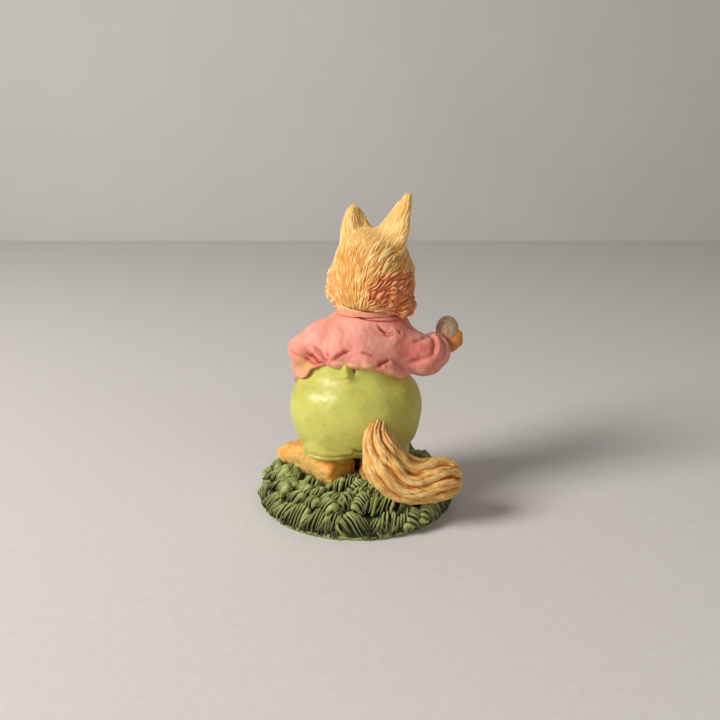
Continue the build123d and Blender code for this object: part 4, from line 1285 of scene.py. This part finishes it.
def build_ruff(side, seed, clay, guides, paint):
    """Cheek fur, a patch of the head's own clay carved into tufts."""
    low, high = (np.array(corner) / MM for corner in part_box(side + "_cheek_ruff"))
    middle = (low + high) / 2
    outward = middle - HEAD_MIDDLE
    centre = middle + RUFF_OUT * outward / np.linalg.norm(outward)
    ruff = clay.patch(centre, CHEEK_RADIUS, RUFF_PROUD, RUFF_BLEND).skin(side + "_cheek_fur")
    flow = fur_flow(ruff, guides)
    lump, between = cheek_tufts(ruff, flow, seed)
    cuts = strokes(ruff, flow, *RUFF_STROKES, seed + 1)
    ruff.push(RUFF_TUFT_HEIGHT * lump - RUFF_STROKE_DEPTH * cuts
              + RUFF_WAVER * ripples(ruff.points, 3.0, seed + 2) - RUFF_SUNK)
    rust = np.clip(0.95 + 0.15 * ripples(ruff.points, 2.2, seed + 4), 0, 1)
    rust *= smooth_step(3.8 - (ruff.points - middle) @ FACE, 0, 2.2)
    if side == "left":                                  # its back is as yellow as the nape
        rust *= smooth_step(0.40 - ruff.normals[:, 1], 0, 0.4)
    # the tops of the tufts are painted lighter as painted highlight
    ruff.marks = {"groove": np.clip(0.75 * between + 0.6 * cuts, 0, 1),
                  "strand": np.clip(lump * 0.9, 0, 1), "rust": rust}
    ruff.bare("cream")
    ruff.dress(paint, "ruff_paint", side + "_cheek_ruff")


def build_fur():
    clay, paint = head_clay(), fur_paint()
    guides = build_head(clay, paint)
    for side, seed in (("left", 81), ("right", 91)):
        build_ruff(side, seed, clay, guides, paint)


def build_face():
    """Nose and eyes, glossy black."""
    black = plain_paint("black_face_paint", colour(34, 28, 26), colour(20, 16, 15),
                        roughness=0.25, coat=0.4)
    for name in ("nose", "left_eye", "right_eye"):
        skin = Clay([name], pitch=EYE_PITCH).skin("painted_" + name, finer=0)
        skin.bare("groove")
        skin.dress(black, "black_paint", name)


# Neck, shirt, buttons


FRONT_ROUNDING, FRONT_WAVER = 0.15, 0.05


def build_front():
    """The neck band, the shirt in the jacket's notch, and the buttons."""
    shirt = plain_paint("cream_shirt_paint", colour(236, 224, 196), colour(222, 206, 172))
    brass = plain_paint("button_paint", colour(226, 186, 92), colour(196, 148, 64), roughness=0.35)
    for name, piece_name, paint, slot in (
            ("neck", "neck_band", neck_paint(), "fur_paint"),
            ("shirt_front", "shirt_notch", shirt, "shirt_paint"),
            ("button_1", "lower_button", brass, "button_paint"),
            ("button_2", "upper_button", brass, "button_paint")):
        clay = Clay([name], pitch=FINE_PITCH)
        clay.soften(FRONT_ROUNDING)
        skin = clay.skin(piece_name, finer=0)
        skin.push(FRONT_WAVER * ripples(skin.points, 2.0, 44))
        share = (skin.points[:, 2] - skin.points[:, 2].min()) / np.ptp(skin.points[:, 2])
        skin.marks["edge"] = smooth_step(share + 0.08 * ripples(skin.points, 3.0, 47), 0.55, 0.95) * 0.8
        skin.bare("groove")
        skin.dress(paint, slot, name)


# Paws and egg

HAND_SHIFT = 0.5                        # how far the egg stands over, away from the thumb
THUMB = ((-20.6, -2.4, 35.2), (-22.4, -2.6, 36.6), (-22.9, -3.2, 38.0))
THUMB_RADII, THUMB_BLEND, PAW_ROUNDING = (1.0, 1.25, 0.9), 0.8, 0.3
EGG_LEAN, EGG_STREAKS, EGG_STREAK_SHARE = (0.25, 0.1, 1.0), (1.6, 0.12, 160, 46), 0.8


def build_paw(side, paint):
    clay = Clay([side + "_paw"], pitch=FINE_PITCH)
    clay.soften(PAW_ROUNDING)
    if side == "right":
        clay.tube(THUMB, THUMB_RADII, THUMB_BLEND)
    paw = clay.skin(side + "_painted_paw", finer=0)
    paw.marks["groove"] = smooth_step(ripples(paw.points, 1.2, 45), 0.8, 1.8) * 0.4
    paw.dress(paint, "paw_paint", side + "_paw")


def build_egg():
    egg = Clay(["egg"], pitch=FINE_PITCH).skin("streaked_egg", finer=0)
    upright = np.tile(EGG_LEAN, (len(egg.points), 1))
    streaks = strokes(egg, upright, *EGG_STREAKS)
    egg.points[:, 0] += HAND_SHIFT
    egg.write()
    egg.marks["groove"] = streaks * EGG_STREAK_SHARE
    paint = plain_paint("egg_paint", colour(246, 208, 170), colour(214, 174, 138), size=1.0)
    egg.dress(paint, "egg_paint", "egg")


# Tail

TAIL_REACH, TAIL_RUN, TAIL_ROOT = 17.0, 2.4, 3.4
TAIL_START = np.array((-4.6, 12.2, 20.86))
TAIL_LYING = 10.5                       # height of the tail's middle where it lies on the grass
TAIL_STRANDS = 9
TAIL_TWIST, TAIL_SWAY, TAIL_SWAY_SPACING = math.radians(50), math.radians(11), 3.2
# along the tail's middle: shares of its reach, its run and its drop
TAIL_PATH_SHARES = (
    (0.00, -0.50, 1.02), (0.00, 0.20, 0.92), (0.03, 0.72, 0.68), (0.11, 1.00, 0.36), (0.27, 1.06, 0.10),
    (0.50, 0.98, 0.00), (0.76, 0.62, 0.00), (0.92, 0.22, 0.00), (1.00, 0.02, 0.00))
TAIL_ROUNDING, TAIL_SWELL = 0.25, 0.12
TAIL_STRAND_HEIGHT, TAIL_SPLIT_HEIGHT, TAIL_STROKE_DEPTH, TAIL_SUNK = 0.55, 0.40, 0.18, 0.55
TAIL_STROKES, TAIL_LOCK_SIZE = (2.4, 0.14, 600, 65), (7.0, 1.3)
TAIL_WASH_DEPTH, TAIL_HOLLOW_ROUNDS = 0.22, 24
TAIL_FRAME_STEPS = 6
TAIL_FRAME_SLACK, TAIL_FRAME_BLEND = 0.25, 0.35


def tail_frames():
    """Places along the middle of the tail, with its way, a side carried round the bend, and its turn."""
    drop = TAIL_START[2] - TAIL_LYING
    rows = [np.array((TAIL_START[0] - side * TAIL_REACH, TAIL_START[1] + back * TAIL_RUN,
                      TAIL_LYING + up * drop)) for side, back, up in TAIL_PATH_SHARES]
    rows.insert(0, rows[0] - np.array((0, TAIL_ROOT, 0)))
    last = len(rows) - 1
    side = np.array((1.0, 0.0, 0.0))
    knots = []
    for index, row in enumerate(rows):
        way = rows[min(index + 1, last)] - rows[max(index - 1, 0)]
        way /= np.linalg.norm(way)
        side = side - way * (side @ way)
        side /= np.linalg.norm(side)
        knots.append(np.concatenate([row, way, side]))
    frames = []
    for index in range(last):
        before, here = knots[max(index - 1, 0)], knots[index]
        after, beyond = knots[index + 1], knots[min(index + 2, last)]
        for step in range(TAIL_FRAME_STEPS):
            t = step / TAIL_FRAME_STEPS
            value = 0.5 * (2 * here + (after - before) * t
                           + (2 * before - 5 * here + 4 * after - beyond) * t * t
                           + (3 * here - before - 3 * after + beyond) * t ** 3)
            number = index + t
            sway = TAIL_SWAY * math.sin(2 * math.pi * number / TAIL_SWAY_SPACING)
            twist = TAIL_TWIST * number / last + sway
            frames.append((value[:3], value[3:6], value[6:9], twist))
    return frames


def tail_turns(points):
    """For each point of the tail: its way, its turn round the middle from the strands, how far along."""
    centres, ways, sides, twists = (np.array(row) for row in zip(*tail_frames()))
    offset = points[:, None, :] - centres[None, :, :]
    fit = (np.abs(np.einsum("pkc,kc->pk", offset, ways))
           + TAIL_FRAME_SLACK * np.linalg.norm(offset, axis=2))
    weight = np.exp(-(fit - fit.min(axis=1)[:, None]) / TAIL_FRAME_BLEND)
    weight /= weight.sum(axis=1)[:, None]
    way, side, centre = weight @ ways, weight @ sides, weight @ centres
    way /= np.linalg.norm(way, axis=1)[:, None]
    side -= way * np.sum(side * way, axis=1)[:, None]
    side /= np.linalg.norm(side, axis=1)[:, None]
    out = points - centre
    turn = np.arctan2(np.sum(out * np.cross(way, side), axis=1), np.sum(out * side, axis=1))
    return way, turn + weight @ twists, weight @ np.arange(len(twists))


def build_tail():
    clay = Clay(["tail"], room=2.0)
    clay.soften(TAIL_ROUNDING)
    clay.swell(TAIL_SWELL)
    tail = clay.skin("bushy_tail")
    ways, turn, step = tail_turns(tail.points.astype(float))
    main = np.abs(np.cos(TAIL_STRANDS * turn / 2))
    waver = 0.9 * np.sin(step * 0.22)
    split = np.abs(np.sin(TAIL_STRANDS * turn + waver + 0.5 * ripples(tail.points, 5.0, 63)))
    part = 0.45 + 0.55 * smooth_step(ripples(tail.points, 4.0, 64), -0.6, 0.6)
    lot = locks(tail, ways, *TAIL_LOCK_SIZE, 61, warp=0.6, warp_size=6.0)[2]
    fine = strokes(tail, ways, *TAIL_STROKES)
    tail.push(TAIL_STRAND_HEIGHT * main ** 0.8 + TAIL_SPLIT_HEIGHT * split ** 0.7 * part
              - TAIL_STROKE_DEPTH * fine - TAIL_SUNK)
    sunk = tail.hollows(TAIL_HOLLOW_ROUNDS)
    tail.marks["groove"] = np.clip(smooth_step(sunk, 0.0, TAIL_WASH_DEPTH) + 0.4 * fine, 0, 1)
    # lighter on the raised strands as painted highlight, plus tone that differs by lock at random
    tail.marks["strand"] = np.clip(0.5 - sunk * 3, 0, 1) * 0.7 + 0.3 * lot
    tail.dress(tail_paint(), "tail_paint", "tail")


# Floor, wall and lights, in metres

STAGE_HALF_WIDTH, STAGE_BACK, STAGE_FRONT, STAGE_HEIGHT = 1.2, -0.5, 1.2, 1.2
ROOM_COLOUR, ROOM_STRENGTH = (0.90, 0.87, 0.84, 1), 0.16
LAMP_AIM = (0, 0, 0.03)


def stage_plane(name, corners, paint):
    mesh = bpy.data.meshes.new(name)
    mesh.from_pydata(corners, [], [tuple(range(len(corners)))])
    plane = bpy.data.objects.new(name, mesh)
    plane.data.materials.append(paint.material)
    bpy.context.scene.collection.objects.link(plane)


def build_stage():
    wide, back, front, high = STAGE_HALF_WIDTH, STAGE_BACK, STAGE_FRONT, STAGE_HEIGHT
    floor = Paint("pale_floor", roughness=0.85, specular=0.1)
    speckle = floor.noise(2.0, 5.0, 0.7)
    floor.feed("Base Color", floor.mix(colour(236, 234, 232), colour(222, 218, 214), speckle))
    wall = Paint("pale_wall", roughness=0.9, specular=0.1)
    wall.feed("Base Color", wall.mix(colour(222, 220, 216), colour(214, 212, 208), wall.noise(60.0)))
    stage_plane("floor", [(-wide, back, 0), (wide, back, 0), (wide, front, 0), (-wide, front, 0)], floor)
    stage_plane("wall", [(-wide, back, 0), (wide, back, 0), (wide, back, high), (-wide, back, high)], wall)


def lamp(name, place, size, power, tint):
    data = bpy.data.lights.new(name, "AREA")
    data.shape = "DISK"
    data.size, data.energy, data.color = size, power, tint
    made = bpy.data.objects.new(name, data)
    made.location = place
    made.rotation_euler = (Vector(LAMP_AIM) - Vector(place)).to_track_quat("-Z", "Y").to_euler()
    bpy.context.scene.collection.objects.link(made)


def light_room():
    lamp("key_lamp", (0.50, 0.26, 0.38), 0.30, 4.4, (1.0, 0.97, 0.93))
    lamp("fill_lamp", (-0.4, 0.6, 0.35), 0.6, 0.7, (1.0, 0.94, 0.88))
    world = bpy.data.worlds.new("room_light")
    world.use_nodes = True
    background = world.node_tree.nodes["Background"]
    background.inputs["Color"].default_value = ROOM_COLOUR
    background.inputs["Strength"].default_value = ROOM_STRENGTH
    bpy.context.scene.world = world


# The figurine

set_camera()
build_base()
orange = boot_paint()
for side in ("left", "right"):
    build_boot(side, orange)
build_trousers()
build_jacket()
build_fur()
build_face()
build_front()
paw_orange = plain_paint("paw_paint", colour(222, 148, 76), colour(190, 116, 52))
for side in ("left", "right"):
    build_paw(side, paw_orange)
build_egg()
build_tail()
build_stage()
light_room()
bpy.context.scene.view_settings.view_transform = "Standard"
